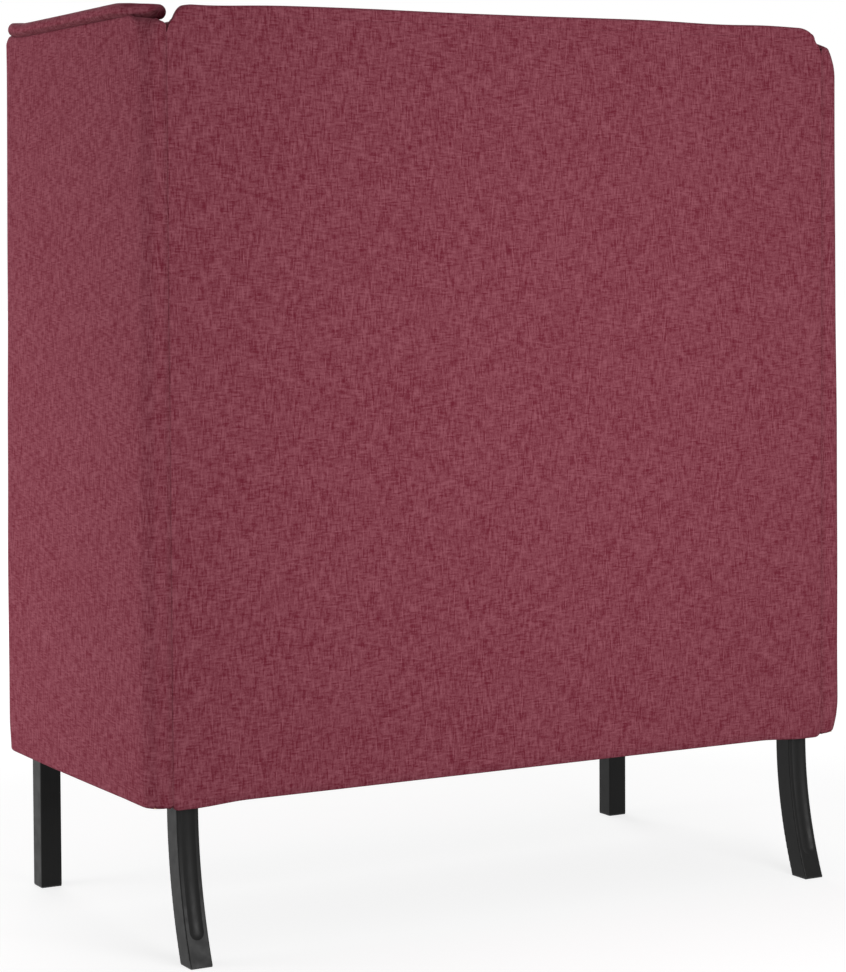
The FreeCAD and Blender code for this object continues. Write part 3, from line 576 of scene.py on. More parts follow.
def wing_ring(z):
    """The wing's outline at one height. The top drops behind the roll, and again towards the seam."""
    corner_share = edge_fall(wing_top - z, CORNER_HEIGHT) / CORNER_HEIGHT
    foot_share = edge_fall(z - wing_bottom, FOOT_HEIGHT) / FOOT_HEIGHT
    outline = wing_outline(SIDE_RADIUS + CORNER_ROUND * corner_share + FOOT_ROUND * foot_share)
    rise = (z - wing_bottom) / (wing_top - wing_bottom)
    above_seat = (z - seat_top) / (wing_top - seat_top)
    near_hem = 1 - ease((z - wing_bottom) / HEM_REACH)
    near_top = ease((z - wing_top + TOP_REACH) / TOP_REACH)
    front_pull = FRONT_INSET * ease((z - wing_top + FRONT_PULL_HEIGHT) / FRONT_PULL_HEIGHT)
    inset = edge_fall(z - wing_bottom, HEM_RADIUS) + edge_fall(wing_top - z, TOP_RADIUS)
    ring = []
    for (x, y), (way_x, way_y) in zip(outline, outward_ways(outline)):
        depth_share = (y - wing_front_y) / (wing_high.y - wing_front_y)
        swell = SWELL_EDGE + SWELL_MIDDLE * fullness(depth_share)
        outer = LOW_SWELL * ease((1 - rise) / SWELL_HEIGHT) * swell - TOP_PULL
        tuck = BOTTOM_TUCK * (TUCK_FRONT + TUCK_MORE * depth_share)
        out = (outer - near_hem * tuck) * max(way_x, 0.0)
        pad_share = (y - wing_front_y) / (inside_high.y - PAD_MARGIN - wing_front_y)
        out += INSIDE_SWELL * max(-way_x, 0.0) ** 2 * fullness(above_seat) * fullness(pad_share)
        out -= CORNER_INSET * corner_share * max(2 * way_x * way_y, 0.0) * (y > inside_high.y)
        at_front = ease((wing_front_y + FRONT_PULL_REACH - y) / FRONT_PULL_REACH)
        out -= front_pull * at_front * (way_x > INWARD_WAY)
        wave = waviness(x, y, z, WING_WAVE_SIZE, WING_WAVE_DEPTH)
        out += wave * (1 - near_hem) * (1 - near_top) - inset
        drop = REAR_DROP * ease((y - roll_end + REAR_DROP_LEAD) / REAR_DROP_REACH) - front_lift(y)
        if y > inside_high.y:
            drop += SEAM_DROP * ease((wing_seam_x + SEAM_DROP_REACH - x) / SEAM_DROP_REACH)
        droop = FOOT_DROOP * ease((y - wing_high.y + FOOT_DROOP_LEAD) / FOOT_DROOP_REACH)
        ring.append((x + out * way_x, y + out * way_y, z - near_top * drop - near_hem * droop))
    return ring


def wing_rings():
    """All rings from the hem to the top: close where the edges turn, wider between."""
    low_turn = [wing_bottom + HEM_RADIUS * (1 - math.cos(math.radians(15 * step))) for step in range(6)]
    foot = np.linspace(wing_bottom + HEM_RADIUS, wing_bottom + FOOT_HEIGHT, 8)
    run = np.linspace(wing_bottom + FOOT_HEIGHT, wing_top - CORNER_HEIGHT, 80)[1:]
    angles = [math.radians(4.5 * step) for step in range(1, 21)]
    high_turn = [wing_top - CORNER_HEIGHT * (1 - math.sin(angle)) for angle in angles]
    return np.array([wing_ring(z) for z in low_turn + list(foot) + list(run) + high_turn])


print("the rings of a wing are ready")

# %% Both wing covers
HANDS = (("right", 1.0), ("left", -1.0))
# How much shade is painted beside the upright seams, and over what width on the wing.
SEAM_PAINTED_SHADE = 0.17
WING_SEAM_SHADE_WIDTH = 0.009


def shade_points(mesh, shares):
    """Writes the share of painted shade at each point, from 0 to 1."""
    layer = mesh.attributes.new("painted_shade", "FLOAT", "POINT")
    layer.data.foreach_set("value", np.ravel(shares))


def wing_seam_painted_shade(rings):
    """Painted shade at the upright seam on the wing's rear edge, fading away from it."""
    out = np.abs(rings[..., 0])
    back = rings[..., 1]
    share = np.clip(1 - (out - wing_seam_x) / WING_SEAM_SHADE_WIDTH, 0.0, 1.0)
    return SEAM_PAINTED_SHADE * share * (back > inside_high.y)


def for_hand(rings, side):
    """Right-hand rings, or their mirror image for the left-hand side."""
    return np.asarray(rings) * np.array([side, 1.0, 1.0])


for hand, side in HANDS:
    rings = for_hand(wing_rings(), side)
    wing_mesh = skin_mesh("wing_cloth_" + hand, rings)
    # Shade painted along the upright seam.
    shade_points(wing_mesh, wing_seam_painted_shade(rings))
    covered = [stem + hand for stem in ("wing_outer_cover_", "wing_inner_cover_", "wing_edge_pads_")]
    add_cover("wing_cloth_" + hand, wing_mesh, covered)

# %% [markdown]
# ## The rolls on top of the wings
#
# A padded band is sewn along the top of each wing. It is a soft roll, a little wider than the wing, so it
# overhangs and throws a thin shadow on the panel below. It stops short of the rear face in a rounded knob,
# and its front end narrows slowly. It is a stack of rounded sections from front to rear. Soft light leaves
# the fold under it too pale, so shade is painted into the cloth on its lower outer side.

# %% The sizes of a roll
BAND_OVERHANG = 0.0055
BAND_RADIUS = 0.0092
BAND_CROWN = 0.0016
OUTER_PLAN_CORNER = 0.042
INNER_PLAN_CORNER = 0.009
FRONT_ROUND = 0.004
REAR_ROUND = 0.009
ROLL_DROOP = 0.004
# The shade painted on the roll's lower outer side: how high it reaches, how dark it is, how softly it fades.
PAINTED_SHADE_REACH = 0.38
PAINTED_SHADE_DEPTH = 0.36
PAINTED_SHADE_FADE = 0.15
ROLL_SETBACK = 0.002
INNER_OVERHANG = 0.012
ROLL_SINK = 0.0012
ROLL_TOP_GAP = 0.0006
OUTER_TURN_SHARE = 0.95
ROUND_SHARE = 0.45
PIVOT_SHARE = 0.6
END_SHARE = 0.1
ROLL_DROOP_REACH = 0.06
ROLL_WAVE_DEPTH = 0.0006
ROLL_WAVE_ACROSS = 0.09
ROLL_WAVE_UP = 0.11
roll_start = wing_front_y + ROLL_SETBACK
roll_inner_x = wing_inside_x - INNER_OVERHANG
roll_outer_x = wing_face_x + BAND_OVERHANG
roll_low = wing_top - ROLL_SINK
roll_high = band_high.z - ROLL_TOP_GAP - BAND_CROWN
print("the rolls run from", round(roll_low, 4), "to", round(roll_high, 4), "m high")

# %% One section of a roll
def wing_band_ring(y):
    """One rounded section of the roll. The outer side curves in early at both ends, the inner side late."""
    to_end = min(y - roll_start, roll_end - y)
    inner_x = roll_inner_x + edge_fall(to_end, INNER_PLAN_CORNER)
    outer_x = roll_outer_x - edge_fall(to_end, OUTER_PLAN_CORNER) * OUTER_TURN_SHARE
    radius = min(BAND_RADIUS, ROUND_SHARE * (outer_x - inner_x))
    section = rounded_outline([
        (inner_x, roll_low, radius, 3),
        (outer_x, roll_low, radius, 3),
        (outer_x, roll_high, radius, 3),
        (inner_x, roll_high, radius, 3),
    ])
    middle_x = (inner_x + outer_x) / 2
    front_share = edge_fall(y - roll_start, FRONT_ROUND) / FRONT_ROUND
    rear_share = edge_fall(roll_end - y, REAR_ROUND) / REAR_ROUND
    pivot = roll_low + PIVOT_SHARE * (roll_high - roll_low) * (rear_share > front_share)
    section[:, 1] = pivot + (section[:, 1] - pivot) * max(1 - max(front_share, rear_share), END_SHARE)
    lift = front_lift(y) - ROLL_DROOP * ease((y - roll_end + ROLL_DROOP_REACH) / ROLL_DROOP_REACH)
    ring = []
    for x, z in section:
        crown = 1 - ((x - middle_x) / (roll_outer_x - roll_inner_x) * 2) ** 2
        crown *= BAND_CROWN * ease((z - roll_low) / (roll_high - roll_low))
        wave_x = waviness(x, y, z, ROLL_WAVE_ACROSS, ROLL_WAVE_DEPTH)
        wave_z = waviness(y, x, z, ROLL_WAVE_UP, ROLL_WAVE_DEPTH)
        ring.append((x + wave_x, y, z + crown + lift + wave_z))
    return ring


def wing_band_rings():
    """All sections of the roll, from front to rear."""
    front = [roll_start + OUTER_PLAN_CORNER * (1 - math.cos(math.radians(6 * step))) for step in range(15)]
    run = np.linspace(roll_start + OUTER_PLAN_CORNER, roll_end - OUTER_PLAN_CORNER, 48)
    rear = [roll_end - OUTER_PLAN_CORNER * (1 - math.cos(math.radians(6 * step))) for step in range(15)]
    return [wing_band_ring(y) for y in front + list(run) + rear[::-1]]


print("a section of a roll has", len(wing_band_ring(roll_start)), "points")

# %% Both rolls
def roll_painted_shade(rings):
    """How much shade is painted on each point of the roll's lower outer side, from 0 to 1."""
    out, _, height = np.moveaxis(np.abs(rings), 2, 0)
    foot = height.min(axis=1, keepdims=True)
    share = (height - foot) / (height.max(axis=1, keepdims=True) - foot)
    outer = out > out.mean(axis=1, keepdims=True)
    return (np.clip((PAINTED_SHADE_REACH - share) / PAINTED_SHADE_FADE, 0.0, 1.0) * outer).ravel()


for hand, side in HANDS:
    rings = for_hand(wing_band_rings(), side)
    roll_mesh = skin_mesh("wing_roll_" + hand, rings, upright_rings=True)
    # Shade painted on the roll's lower outer side.
    shade_points(roll_mesh, PAINTED_SHADE_DEPTH * roll_painted_shade(rings))
    add_cover("wing_roll_" + hand, roll_mesh, ["wing_top_band_" + hand])

# %% [markdown]
# ## Laying cloth flat
#
# A ring measures cloth well where the cloth wraps round. A wide flat panel is cut flat, so there the weave
# is laid straight on, from the side that each face looks towards.

# %% Helper that lays cloth flat
def mesh_points(mesh):
    """The points of a mesh as an array with one row each."""
    places = np.empty(len(mesh.vertices) * 3)
    mesh.vertices.foreach_get("co", places)
    return places.reshape(-1, 3)


def lay_cloth(mesh):
    """Lays the cloth on a mesh in metres, from the side that each face looks towards."""
    layer = mesh.uv_layers.get("cloth") or mesh.uv_layers.new(name="cloth")
    flat_ways = {0: (1, 2), 1: (0, 2), 2: (0, 1)}
    points = mesh_points(mesh)
    for face in mesh.polygons:
        way = max(range(3), key=lambda axis: abs(face.normal[axis]))
        first, second = flat_ways[way]
        for loop, vertex in zip(face.loop_indices, face.vertices):
            layer.data[loop].uv = (points[vertex][first], points[vertex][second])


print("flat cloth helper ready")

# %% [markdown]
# ## The outer back
#
# One wide panel closes the back, from the bottom edge to the band. Its upper corners are rounded, and its
# lower corners hang a few millimetres low over the rear legs. It could be a flat grid, but then it would
# have no edge, so it is a stack of upright rings from the left seam to the right one.

# %% The sizes of the outer back
outer_low, outer_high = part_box("outer_back_cover")
back_band_low, back_band_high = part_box("back_top_band")
OUTER_SWELL = 0.003
OUTER_EDGE = 0.0016
TOP_EDGE = 0.0012
BACK_CORNER = 0.040
BACK_CORNER_FALL = 0.031
BAND_HEIGHT = 0.016
CORNER_DROOP = 0.004
LOWER_CORNER = 0.010
# Width of the shade painted along the outer back's upright seams.
BACK_SEAM_SHADE_WIDTH = 0.003
BACK_LAP = 0.0010
BACK_DIP = (0.0046, 0.47, 0.08)
BACK_RISES = ((0.0020, -0.20, 0.13), (0.0020, -0.43, 0.06))
SEAM_CORNER_RISE = 0.009
SEAM_CORNER_LEAD = 0.055
SEAM_CORNER_REACH = 0.05
HEM_DROOP_LEAD = 0.11
HEM_DROOP_REACH = 0.08
HEM_EDGE = 0.004
ROW_SPACING = 0.012
BACK_WAVE_SIZE = 0.2
BACK_WAVE_DEPTH = 0.0012
outer_face_y = outer_high.y - OUTER_SWELL
outer_half = wing_seam_x + BACK_LAP
print("the outer back is", round(2 * outer_half, 4), "m wide")

# %% The edges of the outer back
def corner_fall(x, radius):
    """How far a rounded upper corner has fallen at a distance from the middle."""
    return edge_fall(outer_half - abs(x), radius)


def hump(x, height, middle, width):
    """A smooth hump of a height and width about its middle."""
    return height * math.exp(-((x - middle) / width) ** 2)


def back_top(x):
    """Height of the back's top edge, where the padding lies a little unevenly."""
    rise = sum(hump(x, *place) for place in BACK_RISES)
    return back_band_high.z - hump(x, *BACK_DIP) + rise - min(corner_fall(x, BACK_CORNER), BACK_CORNER_FALL)


def band_seam(x):
    """Height of the seam between the outer panel and the band, which narrows at the corners."""
    near_corner = ease((abs(x) - outer_half + SEAM_CORNER_LEAD) / SEAM_CORNER_REACH)
    return back_top(x) - BAND_HEIGHT + SEAM_CORNER_RISE * near_corner


def columns():
    """Places across the back: even over the middle, and following the turn of the rounded corners."""
    turn = [outer_half - BACK_CORNER * (1 - math.sin(math.radians(3.6 * step))) for step in range(26)]
    run = list(np.linspace(BACK_CORNER - outer_half, outer_half - BACK_CORNER, 86))
    return [-x for x in reversed(turn[1:])] + run + turn[1:]


def hem_droop(x):
    """How far the lower edge hangs down near a corner."""
    return CORNER_DROOP * ease((abs(x) - outer_half + HEM_DROOP_LEAD) / HEM_DROOP_REACH)


print("the band's seam lies", round(band_seam(0.0), 4), "m high in the middle")

# %% The outer back panel
def outer_back_ring(x):
    """One upright section: up the outside, over the top edge and down the inside."""
    bottom = outer_low.z - hem_droop(x) + corner_fall(x, LOWER_CORNER)
    top = band_seam(x)
    side_fall = edge_fall(outer_half - abs(x), OUTER_EDGE)
    level = fullness(0.5 + 0.5 * x / outer_half)
    outside = []
    inside = []
    spacing = ROW_SPACING * (top - bottom) / (outer_high.z - outer_low.z)
    for z in stations(bottom, top, OUTER_EDGE, spacing):
        fall = max(side_fall, edge_fall(top - z, TOP_EDGE), edge_fall(z - bottom, HEM_EDGE))
        full = fullness((z - bottom) / (top - bottom))
        swell = OUTER_SWELL * level * full
        wave = waviness(x, 0.0, z, BACK_WAVE_SIZE, BACK_WAVE_DEPTH) * min(1.0, 4 * level * full)
        outside.append((x, outer_face_y + swell + wave - fall, z))
        inside.append((x, outer_low.y, z))
    return outside + inside[::-1]


rings = [outer_back_ring(x) for x in columns()]
outer_mesh = skin_mesh("outer_back_cloth", rings)
lay_cloth(outer_mesh)
# Shade painted along both upright seams of the outer back.
from_seam = outer_half - np.abs(np.array(rings)[..., 0])
shade_points(outer_mesh, SEAM_PAINTED_SHADE * np.clip(1 - from_seam / BACK_SEAM_SHADE_WIDTH, 0.0, 1.0))
add_cover("outer_back_cloth", outer_mesh, ["outer_back_cover"])

# %% [markdown]
# ## The band over the back
#
# A strip of the same cloth runs over the top of the back, from the outer panel to the inside pad. It is
# tight along the outer edge and soft towards the seat. At both ends it rounds off in front of the wings'
# rolls, and only a thin skirt of it goes on over the timber.

# %% The height of the back band
FRAME_CORNER = 0.030
BAND_FRONT_ROUND = 0.036
BAND_REAR_ROUND = 0.005
BAND_SLANT = 0.56
SKIRT = 0.0012
BAND_STEP = 0.002
BAND_LIFT = 0.0006
FRONT_SOFTNESS = 0.015
BAND_SWELL = 0.0008
BAND_WAVE_SIZE = 0.14
BAND_WAVE_DEPTH = 0.0007
SEAM_SINK = 0.0006
SEAM_SETBACK = 0.0011
SEAM_CHAMFER = 0.0003
NEVER_ZERO = 1e-6
band_step_y = outer_low.y + BAND_STEP


def band_floor(x):
    """Height of the timber under the band."""
    return back_band_low.z + BAND_LIFT - corner_fall(x, FRAME_CORNER)


def band_front(x):
    """Front edge of the raised band. At both ends it runs off to the rear, in front of the rolls."""
    past = back_band_high.y - (outer_half - abs(x)) / BAND_SLANT - back_band_low.y
    return back_band_low.y + 0.5 * (past + math.hypot(past, FRONT_SOFTNESS))


def band_height(x, y):
    """Height of the band over one spot of the back's top."""
    front = band_front(x)
    skirt = band_floor(x) + SKIRT
    if y <= front:
        return skirt
    across = (y - front) / (back_band_high.y - front + NEVER_ZERO)
    raised = back_top(x) + BAND_SWELL * fullness(across)
    raised -= edge_fall(y - front, BAND_FRONT_ROUND) + edge_fall(outer_face_y - y, BAND_REAR_ROUND)
    return max(skirt, raised + waviness(x, y, 0.0, BAND_WAVE_SIZE, BAND_WAVE_DEPTH))


print("the band is", round(back_top(0.0), 4), "m high in the middle")

# %% The back band
def back_band_ring(x):
    """One section: under the band, up the seam, round the outer edge and over to the seat side."""
    floor_z = band_floor(x)
    seam = band_seam(x) - SEAM_SINK
    lower = [(y, floor_z) for y in np.linspace(back_band_low.y, band_step_y, 8)]
    chamfer = (outer_face_y - SEAM_CHAMFER, seam + SEAM_CHAMFER)
    step = [(band_step_y, seam), (outer_face_y - SEAM_SETBACK, seam), chamfer]
    edge = outer_face_y - BAND_REAR_ROUND
    turn = [edge + BAND_REAR_ROUND * math.cos(math.radians(9 * step)) for step in range(11)]
    face_top = band_height(x, outer_face_y)
    face = [(outer_face_y, seam + (face_top - seam) * share) for share in (0.15, 0.4, 0.7)]
    upper = [(y, band_height(x, y)) for y in turn + list(np.linspace(edge, back_band_low.y, 26))[1:]]
    return [(x, y, z) for y, z in lower + step + face + upper]


rings = [back_band_ring(x) for x in columns()]
back_band_mesh = skin_mesh("back_band_cloth", rings)
lay_cloth(back_band_mesh)
add_cover("back_band_cloth", back_band_mesh, ["back_top_band"])

# %% [markdown]
# ## Blowing up a pad with cloth simulation
#
# The inside back and the loose cushion are sewn covers full of foam. A modelled swell looks too even, so
# these two start from a slightly smaller form, are remeshed into small even squares, and are blown up by
# Blender's cloth with a little pressure. Points on a seam or against a board are pinned. The cloth is cut
# one or two per cent too large, which is what leaves the soft ripples. A cap on how far a point may travel
# keeps the pad inside its place. The result is written into the mesh, and no simulation is left on it.

# %% Helper that plumps a pad
VOXEL = 0.006
LAST_FRAME = 20


def remeshed(name, mesh):
    """An object with the same form in small even squares."""
    body = bpy.data.objects.new(name + "_form", mesh)
    scene.collection.objects.link(body)
    remesh = body.modifiers.new("even_squares", "REMESH")
    remesh.mode = "VOXEL"
    remesh.voxel_size = VOXEL
    even = bpy.data.meshes.new_from_object(body.evaluated_get(bpy.context.evaluated_depsgraph_get()))
    body.modifiers.clear()
    body.data = even
    return body


def blown_up(body, held, pressure, spare):
    """Where the points of a pad come to rest under pressure, with the held ones pinned."""
    pins = body.vertex_groups.new(name="pinned")
    pins.add([int(index) for index in np.flatnonzero(held)], 1.0, "REPLACE")
    cloth = body.modifiers.new("cover", "CLOTH")
    cloth.settings.use_pressure = True
    cloth.settings.uniform_pressure_force = pressure
    cloth.settings.vertex_group_mass = pins.name
    cloth.settings.effector_weights.gravity = 0.0
    cloth.settings.quality = 3
    cloth.settings.shrink_min = -spare
    cloth.point_cache.frame_start = 1
    cloth.point_cache.frame_end = LAST_FRAME
    for step in range(1, LAST_FRAME + 1):
        scene.frame_set(step)
    settled = body.evaluated_get(bpy.context.evaluated_depsgraph_get())
    places = mesh_points(settled.data)
    body.modifiers.clear()
    scene.frame_set(1)
    return places


def plumped(name, mesh, is_held, low, high, pressure, spare, cap):
    """The finished mesh of a pad that is blown up and stays between two corners."""
    body = remeshed(name, mesh)
    start = mesh_points(body.data)
    places = start
    travel = blown_up(body, is_held(start), pressure, spare) - start
    length = np.linalg.norm(travel, axis=1)
    travel *= (np.minimum(length, cap) / np.maximum(length, 1e-9))[:, None]
    places = start + travel
    places = np.clip(places, np.array(low), np.array(high))
    finished = body.data
    finished.vertices.foreach_set("co", places.ravel())
    bpy.data.objects.remove(body)
    finished.name = name
    finished.update()
    finished.shade_smooth()
    lay_cloth(finished)
    return finished


print("pads are remeshed at", VOXEL, "m")

# %% [markdown]
# ## The inside back
#
# The back rest is one tight foam pad: full at the small of the back and thin towards the top, with rounded
# edges where it meets the wings. Its rear is glued to the webbing, so those points are pinned.

# %% The inside back pad
rest_low, rest_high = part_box("inside_back_pad")
REST_EDGE = 0.018
REST_FULL_Z = 0.47
REST_FOOT_Y = rest_high.y - 0.037
REST_FULL_Y = rest_high.y - 0.043
REST_HEAD_Y = rest_high.y - 0.020
HEAD_STRAIGHT = 0.35
REST_LEAST = 0.004
REST_HELD = 0.008
REST_ROW = 0.012
REST_COLUMN = 0.02
REST_FRONT_ROOM = 0.002


def rest_front(z):
    """How far forward the pad comes at a height."""
    if z < REST_FULL_Z:
        share = ease((z - rest_low.z) / (REST_FULL_Z - rest_low.z))
        return REST_FOOT_Y + (REST_FULL_Y - REST_FOOT_Y) * share
    share = (z - REST_FULL_Z) / (rest_high.z - REST_FULL_Z)
    return REST_FULL_Y + (REST_HEAD_Y - REST_FULL_Y) * (
        HEAD_STRAIGHT * share + (1 - HEAD_STRAIGHT) * ease(share))


def rest_ring(x):
    """Section of the pad at one place across: up the flat rear, then down the full front."""
    side_fall = edge_fall(rest_high.x - abs(x), REST_EDGE)
    front = []
    rear = []
    for z in stations(rest_low.z, rest_high.z, REST_EDGE, REST_ROW):
        fall = max(side_fall, edge_fall(min(z - rest_low.z, rest_high.z - z), REST_EDGE))
        front.append((x, min(rest_front(z) + fall, rest_high.y - REST_LEAST), z))
        rear.append((x, rest_high.y, z))
    return rear + front[::-1]


def rest_is_held(points):
    """Holds the points that lie at the pad's rear."""
    return points[:, 1] > rest_high.y - REST_HELD


rings = [rest_ring(x) for x in stations(-rest_high.x, rest_high.x, REST_EDGE, REST_COLUMN)]
rest_mesh = plumped(
    "inside_back_cloth", skin_mesh("inside_back_form", rings), rest_is_held,
    low=(-rest_high.x, rest_low.y - REST_FRONT_ROOM, rest_low.z),
    high=(rest_high.x, rest_high.y, rest_high.z),
    pressure=4.0, spare=0.012, cap=0.008)
add_cover("inside_back_cloth", rest_mesh, ["inside_back_pad"])

# %% [markdown]
# ## The front border
#
# A padded strip covers the front rail and turns back along both sides as far as the wings. It follows a
# path, so its section is swept along that path.

# %% The front border
border_low, border_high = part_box("seat_front_border")
rail_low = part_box("seat_front_rail")[0]
BORDER_SWELL = 0.003
BORDER_CORNER = 0.012
BORDER_SHARE = 0.75
BORDER_WAVE_SIZE = 0.12
BORDER_WAVE_DEPTH = 0.0008
border_face_y = border_low.y + BORDER_SWELL


def border_path():
    """Plan of the border's outer face, from the right-hand wing round to the left-hand one."""
    half = border_high.x
    rear = border_high.y
    right = [(half, y) for y in np.linspace(rear, border_face_y + BORDER_CORNER, 5)]
    turn = []
    for step in range(1, 9):
        angle = math.radians(90 * step / 9)
        x = half - BORDER_CORNER * (1 - math.cos(angle))
        y = border_face_y + BORDER_CORNER * (1 - math.sin(angle))
        turn.append((x, y))
    front = [(x, border_face_y) for x in np.linspace(half - BORDER_CORNER, BORDER_CORNER - half, 70)]
    left = [(-x, y) for x, y in reversed(right + turn)]
    return np.array(right + turn + front + left)


def border_rings():
    """The border's section, swept along its path."""
    path = border_path()
    along = np.gradient(path, axis=0)
    ways = np.stack([-along[:, 1], along[:, 0]], axis=1) * -1
    ways /= np.linalg.norm(ways, axis=1)[:, None]
    thick = rail_low.y - border_face_y
    section = rounded_outline([
        (-thick * BORDER_SHARE, border_low.z, 0.002, 10), (-thick * BORDER_SHARE, border_high.z, 0.002, 2),
        (0.0, border_high.z, 0.006, 12), (0.0, border_low.z, 0.005, 2)])
    rings = []
    for (x, y), (way_x, way_y) in zip(path, ways):
        ring = []
        for out, z in section:
            share = (z - border_low.z) / (border_high.z - border_low.z)
            wave = waviness(x, y, z, BORDER_WAVE_SIZE, BORDER_WAVE_DEPTH)
            swell = BORDER_SWELL * fullness(share) * (out > -thick * 0.5) + wave
            ring.append((x + (out + swell) * way_x, y + (out + swell) * way_y, z))
        rings.append(ring)
    return rings


border_mesh = skin_mesh("front_border_cloth", border_rings(), upright_rings=True)
add_cover("front_border_cloth", border_mesh, ["seat_front_border"])

# %% [markdown]
# ## The loose seat cushion
#
# One bench cushion lies on the deck. It is a boxed cover: a crowned top panel and a bottom panel joined by
# an upright border, with piping in both seams. Its sides pull in between the corners. The form is a stack of
# rings, and the cloth is blown up with both seams pinned, so that the piping can follow them exactly.

# %% The cushion's cover
cushion_low, cushion_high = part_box("seat_cushion_cover")
CUSHION_BOX = 0.092
CUSHION_CROWN = 0.016
CUSHION_DRAW = 0.006
CUSHION_CORNER = 0.030
SEAM_INSET = 0.0035
CUSHION_GAP = 0.0005
BOTTOM_RISE = 0.004
BOTTOM_INSET = 0.010
BORDER_BULGE = 0.6
CROWN_POWER = 2.6
SEAM_BAND = 0.003
SEAM_EDGE = 0.94
CUSHION_FRONT_ROOM = 0.004
CUSHION_TOP_ROOM = 0.012
CUSHION_FOOT_GAP = 0.0002
cushion_middle = (cushion_low.y + cushion_high.y) / 2
cushion_half_x = cushion_high.x - CUSHION_GAP
cushion_half_y = (cushion_high.y - cushion_low.y) / 2
top_seam = cushion_low.z + CUSHION_BOX
bottom_seam = cushion_low.z + BOTTOM_RISE


def cushion_plan(inset):
    """Plan of the cushion with drawn-in sides, moved in by an inset."""
    half_x = cushion_half_x - inset
    half_y = cushion_half_y - inset
    plan = rounded_outline([
        (half_x, -half_y, CUSHION_CORNER, 34), (half_x, half_y, CUSHION_CORNER, 76),
        (-half_x, half_y, CUSHION_CORNER, 34), (-half_x, -half_y, CUSHION_CORNER, 76)])
    ways = outward_ways(plan)
    draw_x = CUSHION_DRAW * ways[:, 0] * (1 - (plan[:, 1] / half_y) ** 2)
    draw_y = CUSHION_DRAW * ways[:, 1] * (1 - (plan[:, 0] / half_x) ** 2)
    return plan - np.stack([draw_x, draw_y], axis=1) + np.array([0.0, cushion_middle])


def at_height(plan, z):
    """A plan set at a height."""
    return np.column_stack([plan, np.full(len(plan), z)])


def cushion_rings():
    """Bottom panel, border and crowned top panel, from the bottom up."""
    rings = [at_height(cushion_plan(BOTTOM_INSET), cushion_low.z)]
    rings.append(at_height(cushion_plan(SEAM_INSET), bottom_seam))
    for share in (0.08, 0.3, 0.5, 0.7, 0.92):
        z = bottom_seam + share * (top_seam - bottom_seam)
        rings.append(at_height(cushion_plan(SEAM_INSET * (1 - BORDER_BULGE * fullness(share))), z))
    rings.append(at_height(cushion_plan(SEAM_INSET), top_seam))
    edge = cushion_plan(SEAM_INSET)
    middle = np.array([0.0, cushion_middle])
    for share in (0.985, 0.95, 0.88, 0.76, 0.6, 0.4, 0.2, 0.05):
        z = top_seam + CUSHION_CROWN * (1 - share ** CROWN_POWER)
        rings.append(at_height(middle + (edge - middle) * share, z))
    return rings


def cushion_is_held(points):
    """Holds the bottom panel and the top seam."""
    on_seam = np.abs(points[:, 2] - top_seam) < SEAM_BAND
    below = points[:, 2] < bottom_seam + SEAM_BAND
    across = np.abs(points[:, 0]) / cushion_half_x
    along = np.abs(points[:, 1] - cushion_middle) / cushion_half_y
    return below | (on_seam & (np.maximum(across, along) > SEAM_EDGE))


cushion_mesh = plumped(
    "seat_cushion_cloth", skin_mesh("seat_cushion_form", cushion_rings()), cushion_is_held,
    low=(-cushion_high.x, cushion_low.y - CUSHION_FRONT_ROOM, cushion_low.z + CUSHION_FOOT_GAP),
    high=(cushion_high.x, cushion_high.y, cushion_high.z + CUSHION_TOP_ROOM),
    pressure=4.0, spare=0.02, cap=0.016)
cushion_nodes = ["seat_cushion_cover", "seat_cushion_core"]
add_cover("seat_cushion_cloth", cushion_mesh, cushion_nodes, body="seat_cushion")

# %% [markdown]
# ## Piping along the seams
#
# Piping is a cord wrapped in the cover's own cloth and sewn into a seam. It follows a path, so Geometry
# Nodes make it: the seam comes in as a closed line of edges, turns into a curve and gets a round section.
# The radius and the spacing are named inputs of the tree.

# %% A node group for piping
def new_group(name, inputs):
    """An empty geometry node group with named number inputs: returns the group and its two end nodes."""
    group = bpy.data.node_groups.new(name, "GeometryNodeTree")
    group.interface.new_socket("Geometry", in_out="INPUT", socket_type="NodeSocketGeometry")
    for label, value in inputs:
        socket = group.interface.new_socket(label, in_out="INPUT", socket_type="NodeSocketFloat")
        socket.default_value = value
    group.interface.new_socket("Geometry", in_out="OUTPUT", socket_type="NodeSocketGeometry")
    return group, group.nodes.new("NodeGroupInput"), group.nodes.new("NodeGroupOutput")


def close_group(group, output, geometry, material):
    """Ends a group the way every group here ends: real geometry with its finish on it."""
    realized = add_node(group, "GeometryNodeRealizeInstances", [("Geometry", geometry)])
    inputs = [("Geometry", realized.outputs["Geometry"]), ("Material", material)]
    finished = add_node(group, "GeometryNodeSetMaterial", inputs)
    group.links.new(finished.outputs["Geometry"], output.inputs["Geometry"])


def piping_group(material):
    """Piping along a line: a curve with even points and a round section."""
    group, given, output = new_group("piping", [("Radius", 0.003), ("Spacing", 0.006)])
    line = add_node(group, "GeometryNodeMeshToCurve", [("Mesh", given.outputs["Geometry"])])
    inputs = [("Curve", line.outputs["Curve"]), ("Length", given.outputs["Spacing"])]
    even = add_node(group, "GeometryNodeResampleCurve", inputs, mode="LENGTH")
    ring = add_node(
        group, "GeometryNodeCurvePrimitiveCircle", [("Radius", given.outputs["Radius"]), ("Resolution", 10)])
    inputs = [("Curve", even.outputs["Curve"]), ("Profile Curve", ring.outputs["Curve"])]
    tube = add_node(group, "GeometryNodeCurveToMesh", inputs)
    close_group(group, output, tube.outputs["Mesh"], material)
    return group


